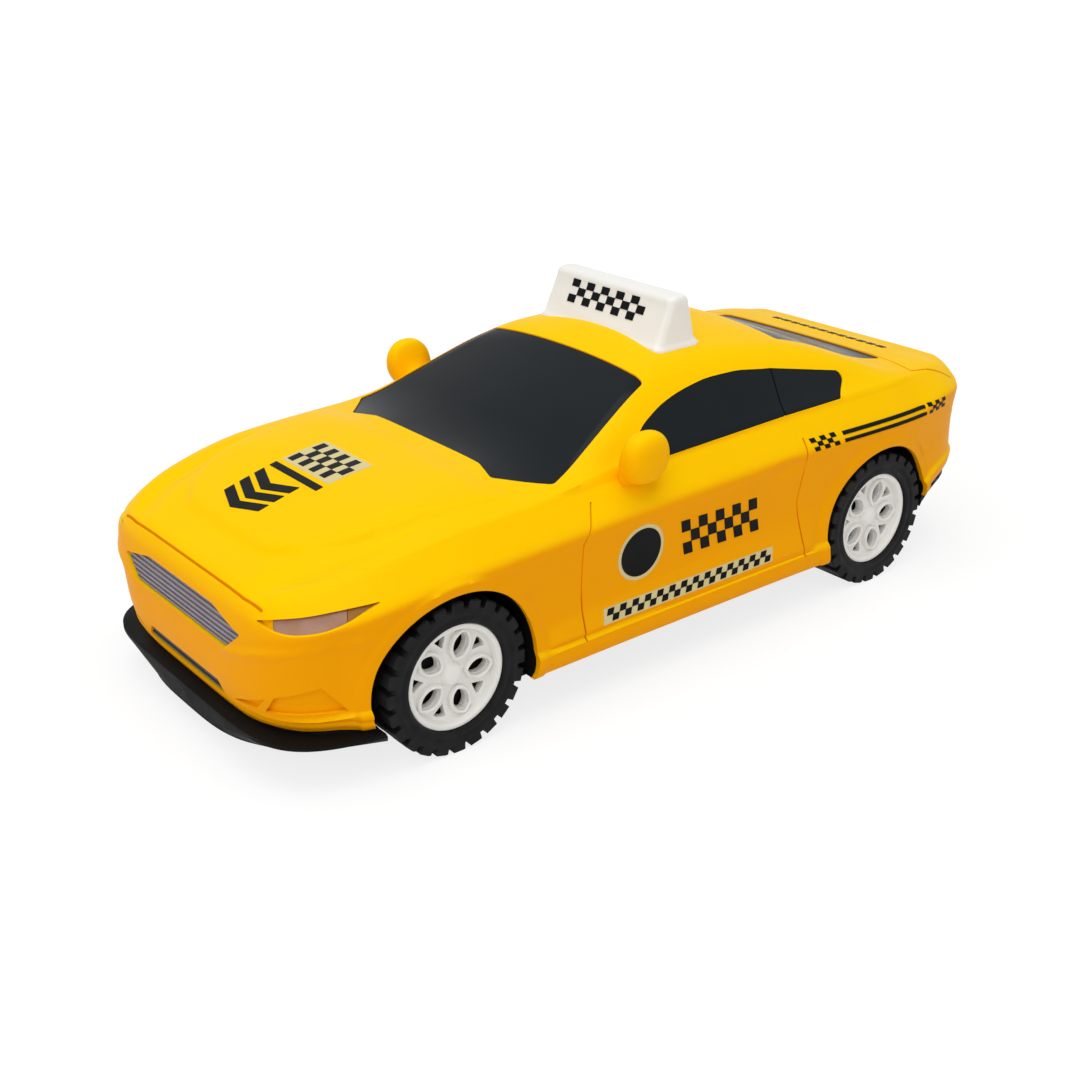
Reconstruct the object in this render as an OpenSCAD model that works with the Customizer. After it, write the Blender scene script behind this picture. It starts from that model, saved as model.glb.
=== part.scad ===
// Toy taxi with a friction drive: moulded shell, window insert, chassis, lamps, sign, mirrors and wheels.
// Millimetres. +X is the nose, +Y the left side, +Z up. The origin is on the floor under the middle.

/* [Body] */
// Length over both bumpers
body_l = 240; // [220:1:260]
// Widest width, at the shoulder crease
body_w = 106.6; // [102:0.2:112]
// Height of the sill's lower edge above the floor
sill_z = 12.6; // [11.5:0.1:13.5]
// Height of the belt line at its highest point
belt_z = 56.6; // [53:0.1:59]
// Height of the roof at its highest point
roof_z = 76.3; // [72:0.1:80]
// Rise of the hood and the boot lid over their edges
crown_h = 4.2; // [3:0.1:5.5]
// Fall of the roof from its middle out to the full half width
roof_bow = 11.9; // [9:0.1:14]
// Wall of the moulded shell
wall = 2; // [1.6:0.1:2.4]

/* [Cabin] */
// Foot of the windscreen ahead of the middle
screen_x = 47; // [42:0.5:52]
// Sweep of the windscreen's foot from its middle out to the full half width
screen_sweep = 9.8; // [6:0.1:13]
// Foot of the rear window behind the middle
rear_x = 95.6; // [90:0.2:100]
// Sweep of the rear window's foot from its middle out to the full half width
rear_sweep = 10.6; // [7:0.1:14]
// Blend between roof, pillars and glass
cabin_blend = 3.2; // [2:0.1:4.5]
// Thickness of the window insert
glass_t = 1.4; // [1.1:0.1:1.8]
// Drop of the panes below the outer skin
glass_drop = 0.7; // [0.4:0.1:1]
// Corner radius of the window openings
window_r = 1.5; // [1:0.1:2]

/* [Wheels] */
// Distance between the two axles
wheelbase = 146; // [136:1:154]
// Shift of both axles towards the nose
axle_shift = 2.45; // [0:0.05:5]
// Outer diameter of the tyres
tyre_d = 38.6; // [36.6:0.2:40.6]
// Width of the tyres
tyre_w = 16; // [14:0.5:18]
// Depth of the tyres' outer faces inside the widest width
wheel_inset = 2.3; // [1.4:0.1:3.6]
// Depth of the rims' faces behind the tyres' outer faces
rim_recess = 1; // [0.6:0.1:1.6]
// Diameter of the rim where the tyre sits
seat_d = 25; // [23:0.5:26]
// Diameter of the rim's outer lip
lip_d = 26.6; // [25.6:0.2:28]
// Radius of the wheel arches
arch_r = 22; // [21:0.1:23]
// Diameter of both axles
axle_d = 3; // [2.5:0.1:3.4]
// Lugs on each shoulder of a tyre
lug_count = 24; // [18:2:30]
// Depth of the gaps between the lugs
lug_h = 1.5; // [1:0.1:1.8]

/* [Chassis] */
// Thickness of the chassis plate
floor_t = 2; // [1.6:0.1:2.4]
// Height of the splitter's lower edge above the floor
splitter_z = 5.6; // [4:0.1:6.5]
// Length of the axle posts along the axle
post_w = 6; // [4:0.5:8]

/* [Drive] */
// Module of all gear teeth
gear_m = 0.5; // [0.46:0.01:0.54]
// Teeth of the drive gear and of the idler's wheel
wheel_teeth = 24; // [22:1:26]
// Teeth of the idler's pinion and of the flywheel pinion
pinion_teeth = 10; // [10:1:12]
// Face width of the gears
gear_w = 3; // [2.5:0.1:3.5]
// Diameter of the flywheels
flywheel_d = 22; // [18:0.5:24]
// Thickness of each flywheel
flywheel_t = 5; // [3:0.5:7]
// Diameter of the idler and flywheel shafts
shaft_d = 2; // [1.6:0.1:2.4]
// Wall of the gear case
case_wall = 1.5; // [1.2:0.1:2]

/* [Trim] */
// Length of the roof sign's body across the car
sign_w = 48; // [40:0.5:52]
// Height of the roof sign above the roof
sign_h = 11; // [9:0.2:14]
// Depth of the roof sign's foot along the car
sign_foot = 14; // [11:0.5:17]
// Depth of the roof sign's top along the car
sign_top = 6; // [4:0.1:8]
// Reach of a mirror out from the door skin
mirror_reach = 8.4; // [6:0.2:11]
// Width of a mirror along the car
mirror_w = 13.4; // [10:0.2:15]
// Height of a mirror head
mirror_h = 13.4; // [10:0.2:15]

/* [Fits] */
// Radial clearance of a turning shaft in its bore
running_gap = 0.05; // [0.03:0.01:0.08]
// Radial clearance of a pressed joint inside one moving body
press_gap = 0.02; // [0.01:0.01:0.04]
// Clearance between mouldings that fit in each other
fit_gap = 0.15; // [0.1:0.01:0.25]
// Play beside parts that turn
side_play = 0.4; // [0.3:0.05:0.6]
// Diameter of the screws' shanks
screw_d = 2.5; // [2:0.1:2.8]

/* [Hidden] */
$fn = 48;

half_l = body_l / 2;
half_w = body_w / 2;
cabin_h = roof_z - belt_z;
// Bow, blend and corner radius that a low cabin still leaves room for
bow_share = 0.62;
blend_share = 0.165;
corner_share = 0.08;
bow = min(roof_bow, bow_share * cabin_h);
blend = min(cabin_blend, blend_share * cabin_h);
corner_r = min(window_r, corner_share * cabin_h);
// Overrun of every cut past the face that it leaves
overrun = 1;
// A length that is as good as none, for thin slices
sliver = 0.01;
tiny = 0.000001;

// Body surface: places as shares of the half length, heights as shares of the named heights
bottom_shares = [[0, 1], [0.5, 1], [0.8, 1.02], [1, 1]];
// Rise of the sill behind the gear case, over the share of the way from there to the tail
kick_shares = [[0, 1], [0.18, 1.66], [0.39, 1.9], [1, 2.1]];
shoulder_shares = [[-1, 0.962], [-0.83, 0.995], [-0.5, 1], [0, 0.984], [0.33, 0.956], [0.625, 0.927],
    [0.83, 0.853], [0.94, 0.796], [1, 0.764]];
width_shares = [[-1, 0.952], [-0.6, 1], [-0.17, 0.987], [0.17, 0.987], [0.625, 0.998], [1, 0.98]];
crown_shares = [[-1, 0.72], [-0.83, 1.14], [-0.5, 0.95], [0.33, 0.86], [0.625, 1], [0.83, 0.95], [1, 0.71]];
roof_shares = [[-1, 0.79], [-0.67, 0.91], [-0.42, 0.968], [-0.17, 1], [0.04, 0.993], [0.25, 0.96]];
// Foot of the side glass, as shares of the half width
side_foot_shares = [[-1, 0.77], [-0.79, 0.833], [-0.5, 0.867], [0.04, 0.874], [0.21, 0.848], [0.33, 0.814],
    [0.5, 0.73]];
// Profiles over the share of the height from the sill to the shoulder
nose_shares = [[0, 0.967], [0.12, 0.983], [0.35, 0.99], [0.65, 0.988], [0.85, 0.977], [0.95, 0.962],
    [1, 0.943]];
tail_shares = [[0, 0.985], [0.15, 0.996], [0.4, 1], [0.7, 0.996], [0.95, 0.98], [1, 0.964]];
side_shares = [[0, 0.985], [0.05, 0.997], [0.11, 0.997], [0.15, 0.975], [0.4, 0.962], [0.65, 0.98], [0.8, 1]];
crease_share = 0.8;
tuck_share = 0.7;
crease_blend_share = 0.03;
nose_power = 7.2;
nose_low_power = 5.2;
nose_low_share = 0.75;
tail_power = 7;
crown_power = 2.6;
// Slopes of the cabin's planes and the heights of their feet as shares of the belt height
screen_slope_share = 1.25;
screen_slope = screen_slope_share * cabin_h / belt_z;
side_slope_share = 3.017;
side_slope = side_slope_share * cabin_h / belt_z;
rear_slope_share = 1.12;
rear_slope = rear_slope_share * cabin_h / belt_z;
screen_foot_share = 0.9556;
side_foot_share = 0.977;
rear_foot_share = 0.98;

// Levels of the rings from the sill to the shoulder, as shares
outer_ring_shares = [0, 0.06, 0.11, 0.16, 0.4, 0.62, 0.74, 0.8, 0.87, 1];
inner_ring_shares = [0, 0.4, 0.8, 1];
// Cells along and across the top surface
outer_cells = [34, 14];
inner_cells = [22, 10];

// Openings, as the centres of their rounded corners: windscreen and rear window in plan, side windows in the
// side view. The windscreen has a middle part and two outer parts, a side window a front and a rear part.
screen_middle_shares = [[0.095, 0.5], [0.987, 0.5]];
screen_outer_shares = [[0.095, 0.4], [0.095, 0.575], [0.849, 0.756], [1.036, 0.568], [0.987, 0.43]];
rear_shares = [[0.546, 0.477], [0.939, 0.557]];
side_front_shares = [[0.105, 0.06], [0.095, 0.168], [0.052, 0.294], [-0.01, 0.403], [-0.078, 0.472],
    [-0.151, 0.508], [-0.219, 0.502], [-0.3, 0.448], [-0.3, 0.07], [0.06, 0.015]];
side_rear_shares = [[-0.3, 0.448], [-0.325, 0.432], [-0.408, 0.335], [-0.51, 0.223], [-0.473, 0.081],
    [-0.3, 0.07]];
grille_shares = [[0.3, 0.672], [0.53, 0.625], [0.42, 0.54]];
intake_shares = [[0.32, 0.345], [0.35, 0.3]];

// Door and hood joint lines
line_w = 0.7;
line_depth = 0.6;
door_front_shares = [[0.285, 0.9], [0.33, 0.76], [0.32, 0.3]];
door_rear_shares = [[-0.315, 0.9], [-0.3, 0.6], [-0.33, 0.3]];
hood_line_share = 0.947;
hood_line_half_share = 0.5;

// Nose inserts
nose_plate_t = 1.4;
nose_bar_t = 0.9;
nose_drop = 1.2;
nose_back_x = nose_shares[0][1] * half_l + nose_drop - nose_plate_t;
grille_bars = 4;
intake_bars = 2;
bar_place_share = 0.25;

// Lamps: both tips in plan, lower and upper edges over the length of the lamp
head_tip_shares = [[0.787, 0.927], [0.964, 0.636]];
head_low_shares = [[0, 0.775], [0.12, 0.752], [0.28, 0.722], [0.5, 0.699], [0.74, 0.69], [0.86, 0.694],
    [1, 0.711]];
head_high_shares = [[0, 0.78], [0.3, 0.77], [0.6, 0.753], [0.8, 0.74], [1, 0.718]];
tail_tip_shares = [[-0.955, 0.86], [-1, 0.36]];
tail_low_shares = [[0, 0.735], [0.5, 0.7], [1, 0.7]];
tail_high_shares = [[0, 0.8], [0.5, 0.81], [1, 0.8]];
lamp_slices = 8;
lamp_drop = 0.5;
lamp_t = 2.2;
lamp_depth = 12;

front_x = wheelbase / 2 + axle_shift;
rear_axle_x = axle_shift - wheelbase / 2;
axle_z = tyre_d / 2;
axle_r = axle_d / 2;
wheel_face_y = half_w - wheel_inset;
wheel_in_y = wheel_face_y - tyre_w;

// Chassis
seam_gap = 0.15;
// Depth of the shell's hollow below the sill, past the steep rise behind the wheels
hollow_drop = 4;
floor_inset = 0.3;
// Inset of the floor between the wheels, under the body's sills
floor_tuck = 7;
splitter_power = 3.5;
splitter_lip_power = 6.3;
splitter_low_share = 0.992;
splitter_half_share = 0.915;
splitter_back_share = 0.66;
splitter_lip = 7;
post_half = 5;
post_over = 4;
rail_t = 1.6;
rail_h = 3;
rail_margin = 1.6;
wheel_clear = 1;

// Screws and bosses
screw_r = screw_d / 2;
screw_gap = 0.12;
head_r = 2.4;
head_h = 1.6;
head_gap = 0.3;
boss_r = 3.4;
boss_top_share = 0.8;
boss_side_share = 0.83;
pad_h = 3.2;
pad_r = 4.2;
screw_bite = 11;
slot_w = 0.7;
slot_h = 0.6;
boss_x = [front_x - arch_r - boss_r - rail_t, rear_axle_x + arch_r + boss_r + rail_t];
boss_y = half_w * boss_side_share;
floor_z = sill_z - seam_gap;

// Rims and tyres
lip_t = 1;
seat_r = seat_d / 2;
lip_r = lip_d / 2;
barrel_t = 1.3;
disc_t = 2.2;
disc_drop = 1.6;
hub_wall = 1.9;
hub_r = axle_r + hub_wall;
hub_reach = 2.2;
post_y = wheel_in_y - hub_reach - side_play - post_w;
spokes = 5;
leaf_turn = 38;
leaf_in_share = 0.44;
leaf_out_share = 0.92;
leaf_bow_share = 0.548;
wedge_in_share = 0.71;
wedge_out_share = 0.93;
wedge_half_share = 0.11;
cap_r = 2.6;
cap_h = 0.6;
lug_gap_share = 0.36;
lug_in_share = 0.36;
tyre_edge = 0.6;
bead_w = 0.5;
axle_end = wheel_face_y - rim_recess - disc_drop - disc_t / 2 - side_play / 2;

// Gears and gear case
addendum_share = 0.9;
dedendum_share = 1.15;
pressure_angle = 20;
tooth_share = 0.46;
gear_steps = 4;
centre_d = gear_m * (wheel_teeth + pinion_teeth) / 2;
drive_lean = 20;
idler_x = rear_axle_x + centre_d * cos(drive_lean);
idler_z = axle_z + centre_d * sin(drive_lean);
fly_x = idler_x + centre_d * cos(drive_lean);
fly_z = idler_z + centre_d * sin(drive_lean);
shaft_r = shaft_d / 2;
wheel_tip_r = gear_m * (wheel_teeth / 2 + addendum_share);
pinion_tip_r = gear_m * (pinion_teeth / 2 + addendum_share);
case_gap = 0.6;
case_half = gear_w + 2 * case_gap + case_wall;
case_back_x = rear_axle_x - wheel_tip_r - case_gap - case_wall;
case_front_x = fly_x + pinion_tip_r + case_gap + case_wall;
case_top_z = idler_z + wheel_tip_r + case_gap + case_wall;
tab_l = 6;
tab_t = 2;
kick_margin = 1.3;
kick_x = case_back_x - tab_l - kick_margin;
tab_hole_y = case_half / 2;
small_screw_r = 1.1;
small_head_r = 2.1;
small_head_h = 1.4;
small_bite = 5;
clamp_inset = 1.9;
clamp_r = 0.8;
clamp_head_r = 1.6;
clamp_head_h = 1;
tab_screws = [for (x = [case_back_x - tab_l / 2, case_front_x + tab_l / 2], side = [-1, 1])
    [x, side * tab_hole_y]];
clamp_points = [[case_back_x + clamp_inset, case_top_z - clamp_inset],
    [case_front_x - clamp_inset, case_top_z - clamp_inset]];
drive_low_y = case_gap / 2;
drive_high_y = drive_low_y + gear_w;
wheel_turn = drive_lean;
pinion_turn = drive_lean + 180 + 180 / pinion_teeth;
flywheel_hub_t = clamp_head_h;
flywheel_hub_wall = 1.6;
fly_in_y = case_half + side_play;
fly_out_y = fly_in_y + flywheel_hub_t + flywheel_t;

// Mirrors, sign and their pegs
mirror_x = 19;
mirror_z_share = 1.045;
mirror_foot_share = 0.955;
peg_r = 1.5;
peg_short = 0.8;
mirror_slices = 9;
mirror_swell_shares = [[0, 0.5], [0.18, 0.62], [0.4, 0.95], [0.7, 1], [0.9, 0.86], [1, 0.62]];
mirror_lift_shares = [[0, -0.42], [0.25, -0.3], [0.5, 0], [1, 0.05]];
sign_x = -16.2;
sign_lean = 1;
sign_flange = 1;
sign_flange_h = 1.3;
sign_side_lean = 0.3;
sign_r = 1.6;
sign_round_shares = [[0, 0], [0.35, 0.06], [0.65, 0.2], [0.87, 0.48], [1, 1]];
sign_peg_share = 0.34;

// Smooth curve through the rows of a table, level where the table turns round
function row_slope(t, i) = (t[i + 1][1] - t[i][1]) / (t[i + 1][0] - t[i][0]);

function knot_slope(t, i) =
    i == 0 ? row_slope(t, 0)
    : i == len(t) - 1 ? row_slope(t, i - 1)
    : let (a = row_slope(t, i - 1), b = row_slope(t, i)) a * b <= 0 ? 0 : 2 * a * b / (a + b);

function row_at(t, x, i = 0) = i >= len(t) - 2 || x < t[i + 1][0] ? i : row_at(t, x, i + 1);

function curve(t, x) =
    let (c = min(max(x, t[0][0]), t[len(t) - 1][0]),
        i = row_at(t, c),
        h = t[i + 1][0] - t[i][0],
        s = (c - t[i][0]) / h,
        r = 1 - s)
    r * r * (1 + 2 * s) * t[i][1] + s * r * r * h * knot_slope(t, i)
    + s * s * (1 + 2 * r) * t[i + 1][1] - s * s * r * h * knot_slope(t, i + 1);

function square_of(v) = v * v;
function blend_min(a, b, k) = min(a, b) - square_of(max(k - abs(a - b), 0)) / (4 * k);
function blend_max(a, b, k) = -blend_min(-a, -b, k);

// Body surface
function bottom_at(x) =
    sill_z * (x < kick_x
        ? curve(kick_shares, (kick_x - x) / (kick_x + half_l))
        : curve(bottom_shares, x / half_l));
function shoulder_at(x) = curve(shoulder_shares, x / half_l) * belt_z;
function half_w_at(x) = curve(width_shares, x / half_l) * half_w;
function side_at(q) =
    blend_min(curve(side_shares, q), 1 - (q - crease_share) * tuck_share, crease_blend_share);
function reach_at(forward, q) = curve(forward ? nose_shares : tail_shares, q) * half_l;
function power_at(forward, q) =
    forward ? nose_power - (nose_power - nose_low_power) * max(1 - q / nose_low_share, 0) : tail_power;

function edge_norm(x, y) =
    let (n = power_at(x > 0, 1))
    pow(pow(abs(x) / reach_at(x > 0, 1), n) + pow(abs(y) / (half_w_at(x) * side_at(1)), n), 1 / n);

function lower_top(x, y) =
    shoulder_at(x)
    + curve(crown_shares, x / half_l) * crown_h * (1 - pow(min(edge_norm(x, y), 1), crown_power));

function screen_top(x, y) =
    screen_foot_share * belt_z + screen_slope * (screen_x - screen_sweep * square_of(y / half_w) - x);

function rear_top(x, y) =
    rear_foot_share * belt_z + rear_slope * (x + rear_x - rear_sweep * square_of(y / half_w));

function side_top(x, y) =
    side_foot_share * belt_z + side_slope * (curve(side_foot_shares, x / half_l) * half_w - abs(y));

function roof_top(x, y) = curve(roof_shares, x / half_l) * roof_z - bow * square_of(y / half_w);

function cabin_top(x, y) =
    let (front = blend_min(screen_top(x, y), roof_top(x, y), blend),
        back = blend_min(front, rear_top(x, y), blend))
    blend_min(back, side_top(x, y), blend);

function top_at(x, y) = blend_max(lower_top(x, y), cabin_top(x, y), blend);

// Point in plan of the ring at height share q, moved in by inset: u from tail to nose, v from right to left
function ring_xy(u, v, q, inset) =
    let (n = power_at(u > 0, q),
        k = max(abs(u), abs(v)) / max(pow(pow(abs(u), n) + pow(abs(v), n), 1 / n), tiny),
        x = (reach_at(u > 0, q) - inset) * u * k)
    [x, (half_w_at(x) * side_at(q) - inset) * v * k];

function ring_point(u, v, q, inset, drop) =
    let (p = ring_xy(u, v, q, inset), low = bottom_at(p[0]) - drop)
    [p[0], p[1], low + q * (shoulder_at(p[0]) - inset - low)];

function top_point(u, v, inset) =
    let (p = ring_xy(u, v, 1, inset))
    [p[0], p[1], top_at(p[0], p[1]) - inset];

// Spacing that closes up towards the ends, from 1 to -1
function spread(i, n) = (cos(180 * i / n) + 1 - 2 * i / n) / 2;

// Turn once round the rim of the top grid: cell corner at step k
function rim_cell(k, n, m) =
    k < m ? [0, k]
    : k < m + n ? [k - m, m]
    : k < 2 * m + n ? [n, 2 * m + n - k]
    : [2 * (m + n) - k, 0];

function rim_uv(k, n, m) = let (c = rim_cell(k, n, m)) [spread(c[0], n), -spread(c[1], m)];

// Closed solid inside the body surface, moved in by inset, its underside lowered by drop
module skin(inset, drop, cells, rings) {
    n = cells[0];
    m = cells[1];
    turn = 2 * (n + m);
    top_count = (n + 1) * (m + 1);
    levels = len(rings) - 1;
    top_points = [for (i = [0:n], j = [0:m]) top_point(spread(i, n), -spread(j, m), inset)];
    ring_points = [for (q = [0:levels - 1], k = [0:turn - 1])
        let (p = rim_uv(k, n, m)) ring_point(p[0], p[1], rings[q], inset, drop)];
    function at(q, k) =
        let (s = k % turn, c = rim_cell(s, n, m))
        q == levels ? c[0] * (m + 1) + c[1] : top_count + q * turn + s;
    function partner(k) = (turn + m - k % turn) % turn;
    top_faces = [for (i = [0:n - 1], j = [0:m - 1], h = [0:1])
        let (a = i * (m + 1) + j, b = a + 1, d = a + m + 1, c = d + 1)
        h == 0 ? [a, d, c] : [a, c, b]];
    side_faces = [for (q = [0:levels - 1], k = [0:turn - 1], h = [0:1])
        h == 0 ? [at(q, k), at(q + 1, k), at(q + 1, k + 1)] : [at(q, k), at(q + 1, k + 1), at(q, k + 1)]];
    bottom_faces = [for (k = [m / 2:m / 2 + turn / 2 - 1], h = [0:1])
        let (f = h == 0
            ? [at(0, k), at(0, k + 1), at(0, partner(k + 1))]
            : [at(0, k), at(0, partner(k + 1)), at(0, partner(k))])
        if (f[0] != f[1] && f[1] != f[2] && f[2] != f[0]) f];
    polyhedron(concat(top_points, ring_points), concat(top_faces, side_faces, bottom_faces));
}

module outer_skin(inset = 0, drop = 0) skin(inset, drop, outer_cells, outer_ring_shares);
module inner_skin(inset, drop = overrun) skin(inset, drop, inner_cells, inner_ring_shares);

// Layer under the body surface between two depths
module layer(from, to) {
    difference() {
        inner_skin(from, 0);
        inner_skin(to, wall);
    }
}

// Turns a flat outline in the side view into a slab across the car
module across(low_y, high_y) {
    translate([0, high_y, 0]) rotate([90, 0, 0]) linear_extrude(high_y - low_y) children();
}

// Turns a flat outline in the front view into a slab along the car
module along(low_x, high_x) {
    translate([low_x, 0, 0]) rotate([90, 0, 90]) linear_extrude(high_x - low_x) children();
}

// Cylinder along the axle from one side to the other
module axle_rod(r, low_y, high_y, x, z) {
    translate([x, high_y, z]) rotate([90, 0, 0]) cylinder(r = r, h = high_y - low_y);
}

function both_sides(points) = concat(points, [for (i = [len(points) - 1:-1:0]) [points[i][0], -points[i][1]]]);
function both_flanks(points) = concat(points, [for (i = [len(points) - 1:-1:0]) [-points[i][0], points[i][1]]]);

// Window openings; shrink makes the panes that fit in them
module pane(points, shrink) {
    hull()
        for (p = points)
            translate(p) circle(r = corner_r - shrink, $fn = 16);
}

module screen_opening(shrink) {
    middle = [for (s = screen_middle_shares) [s[0] * screen_x, s[1] * half_w]];
    outer = [for (s = screen_outer_shares) [s[0] * screen_x, s[1] * half_w]];
    translate([0, 0, screen_foot_share * belt_z - crown_h])
        linear_extrude(cabin_h + 2 * crown_h) {
            pane(both_sides(middle), shrink);
            pane(outer, shrink);
            mirror([0, 1]) pane(outer, shrink);
        }
}

module rear_opening(shrink) {
    points = [for (s = rear_shares) [-s[0] * rear_x, s[1] * half_w]];
    translate([0, 0, rear_foot_share * belt_z - crown_h])
        linear_extrude(cabin_h + 2 * crown_h) pane(both_sides(points), shrink);
}

module side_openings(shrink) {
    for (side = [-1, 1])
        across(side > 0 ? half_w / 2 : -body_w, side > 0 ? body_w : -half_w / 2)
            for (shares = [side_front_shares, side_rear_shares])
                pane([for (s = shares) [s[0] * half_l, belt_z + s[1] * cabin_h]], shrink);
}

module window_openings(shrink) {
    screen_opening(shrink);
    rear_opening(shrink);
    side_openings(shrink);
}

// Slab that runs between the tips of a lamp, its edges following two tables of heights
module lamp_slice(tips, low, high, t, shrink) {
    a = [tips[0][0] * half_l, tips[0][1] * half_w];
    b = [tips[1][0] * half_l, tips[1][1] * half_w];
    p = a + (b - a) * t;
    z = [curve(low, t) * belt_z + shrink, curve(high, t) * belt_z - shrink];
    turn = atan2(b[1] - a[1], b[0] - a[0]);
    translate([p[0], p[1], z[0]])
        rotate([0, 0, turn])
            translate([0, -lamp_depth, 0])
                cube([sliver, 2 * lamp_depth, max(z[1] - z[0], sliver)]);
}

module lamp_block(tips, low, high, shrink, side) {
    inset_share = shrink / body_w;
    mirror([0, side < 0 ? 1 : 0, 0])
        for (i = [0:lamp_slices - 1])
            hull() {
                lamp_slice(tips, low, high, max(i / lamp_slices, inset_share), shrink);
                lamp_slice(tips, low, high, min((i + 1) / lamp_slices, 1 - inset_share), shrink);
            }
}

module head_block(shrink, side) lamp_block(head_tip_shares, head_low_shares, head_high_shares, shrink, side);
module tail_block(shrink, side) lamp_block(tail_tip_shares, tail_low_shares, tail_high_shares, shrink, side);

module lamp_lens(shade) {
    color(shade)
        intersection() {
            layer(lamp_drop, lamp_drop + lamp_t);
            children();
        }
}

// Outlines of the two nose openings, in the front view
module grille_outline(shrink) {
    points = [for (s = grille_shares) [s[0] * half_w, s[1] * belt_z]];
    offset(delta = -shrink) polygon(both_flanks(points));
}

module intake_outline(shrink) {
    points = [for (s = intake_shares) [s[0] * half_w, s[1] * belt_z]];
    offset(delta = -shrink) polygon(both_flanks(points));
}

// Joint lines of the doors and of the hood's leading edge, cut only as deep as a line
module joint_path(points) {
    for (i = [0:len(points) - 2])
        hull()
            for (p = [points[i], points[i + 1]])
                translate(p) circle(d = line_w, $fn = 8);
}

module joint_lines() {
    front = [for (s = door_front_shares) [s[0] * half_l, s[1] * belt_z]];
    back = [for (s = door_rear_shares) [s[0] * half_l, s[1] * belt_z]];
    hood = [[hood_line_share * half_l, -hood_line_half_share * half_w],
        [hood_line_share * half_l, hood_line_half_share * half_w]];
    difference() {
        union() {
            across(-body_w, body_w) {
                joint_path(front);
                joint_path(back);
            }
            translate([0, 0, belt_z / 2]) linear_extrude(belt_z) joint_path(hood);
        }
        inner_skin(line_depth, overrun);
    }
}

module wheel_spaces(r, from_y) {
    for (x = [front_x, rear_axle_x], side = [-1, 1])
        axle_rod(r, side > 0 ? from_y : -body_w, side > 0 ? body_w : -from_y, x, axle_z);
}

// Screw bosses of the shell, tied to its side walls by ribs
module shell_bosses() {
    for (x = boss_x, side = [-1, 1])
        translate([x, side * boss_y, floor_z + pad_h])
            difference() {
                union() {
                    cylinder(r = boss_r, h = boss_top_share * belt_z - floor_z - pad_h, $fn = 20);
                    translate([-wall / 2, side > 0 ? 0 : -half_w, 0])
                        cube([wall, half_w, boss_top_share * belt_z - floor_z - pad_h]);
                }
                translate([0, 0, -overrun])
                    cylinder(r = screw_r + screw_gap, h = screw_bite + 2 * overrun, $fn = 20);
            }
}

module peg_holes() {
    for (side = [-1, 1]) {
        mirror_peg(side, fit_gap, wall + overrun);
        sign_peg(side, fit_gap, wall + overrun);
    }
}

module body_shell() {
    color("gold")
        difference() {
            union() {
                difference() {
                    outer_skin();
                    inner_skin(wall, hollow_drop);
                }
                intersection() {
                    shell_bosses();
                    inner_skin(wall / 2, 0);
                }
            }
            window_openings(0);
            wheel_spaces(arch_r, wheel_in_y - wheel_clear);
            along(half_l / 2, body_l) grille_outline(0);
            along(half_l / 2, body_l) intake_outline(0);
            for (side = [-1, 1]) {
                head_block(0, side);
                tail_block(0, side);
            }
            joint_lines();
            peg_holes();
        }
}

// Black moulding behind all the windows: a dome under the shell with the panes standing up in the openings
module window_insert() {
    color("#23282c")
        intersection() {
            difference() {
                union() {
                    inner_skin(wall + fit_gap);
                    intersection() {
                        inner_skin(glass_drop);
                        window_openings(fit_gap);
                    }
                }
                inner_skin(wall + glass_t, wall);
            }
            translate([-rear_x, -boss_y, belt_z - crown_h])
                cube([rear_x + screen_x + crown_h, 2 * boss_y, cabin_h + 2 * crown_h]);
        }
}

// Plan of the chassis plate and of the splitter's two edges
function chassis_plan(inset) =
    let (n = inner_cells[0], m = inner_cells[1])
    [for (k = [0:2 * (n + m) - 1]) let (p = rim_uv(k, n, m)) ring_xy(p[0], p[1], 0, inset)];

function lip_plan(l, w, power) =
    let (back = splitter_back_share * half_l,
        arc = [for (a = [-80:10:80])
            [l * pow(cos(a), 2 / power), sign(a) * w * pow(abs(sin(a)), 2 / power)]])
    concat([[back, -w]], [for (p = arc) if (p[0] > back) p], [[back, w]]);

module chassis_profile(thick) {
    behind = [for (i = [len(kick_shares) - 1:-1:0]) kick_x - kick_shares[i][0] * (kick_x + half_l)];
    places = concat(behind, [for (s = bottom_shares) s[0] * half_l]);
    fine = [for (i = [0:len(places) - 2], h = [0:1]) places[i] + h * (places[i + 1] - places[i]) / 2];
    rows = concat(fine, [places[len(places) - 1]]);
    top = [for (x = rows) [x, bottom_at(x) - seam_gap]];
    low = [for (i = [len(rows) - 1:-1:0]) [rows[i], bottom_at(rows[i]) - seam_gap - thick]];
    polygon(concat(top, low));
}

module splitter() {
    difference() {
        hull() {
            translate([0, 0, floor_z - floor_t / 2])
                linear_extrude(floor_t / 2)
                    polygon(lip_plan(half_l, half_w * splitter_low_share, splitter_lip_power));
            translate([0, 0, splitter_z])
                linear_extrude(floor_t / 2)
                    polygon(lip_plan(half_l * splitter_low_share, half_w * splitter_half_share,
                        splitter_power));
        }
        translate([-splitter_lip, 0, splitter_z - overrun])
            linear_extrude(floor_z - floor_t - splitter_z + overrun)
                polygon(lip_plan(half_l * splitter_low_share, half_w * splitter_half_share - splitter_lip,
                    splitter_power));
    }
}

module axle_posts(x) {
    for (side = [-1, 1])
        translate([x - post_half, side > 0 ? post_y : -post_y - post_w, floor_z - floor_t / 2])
            cube([2 * post_half, post_w, axle_z + post_over - floor_z + floor_t / 2]);
}

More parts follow.
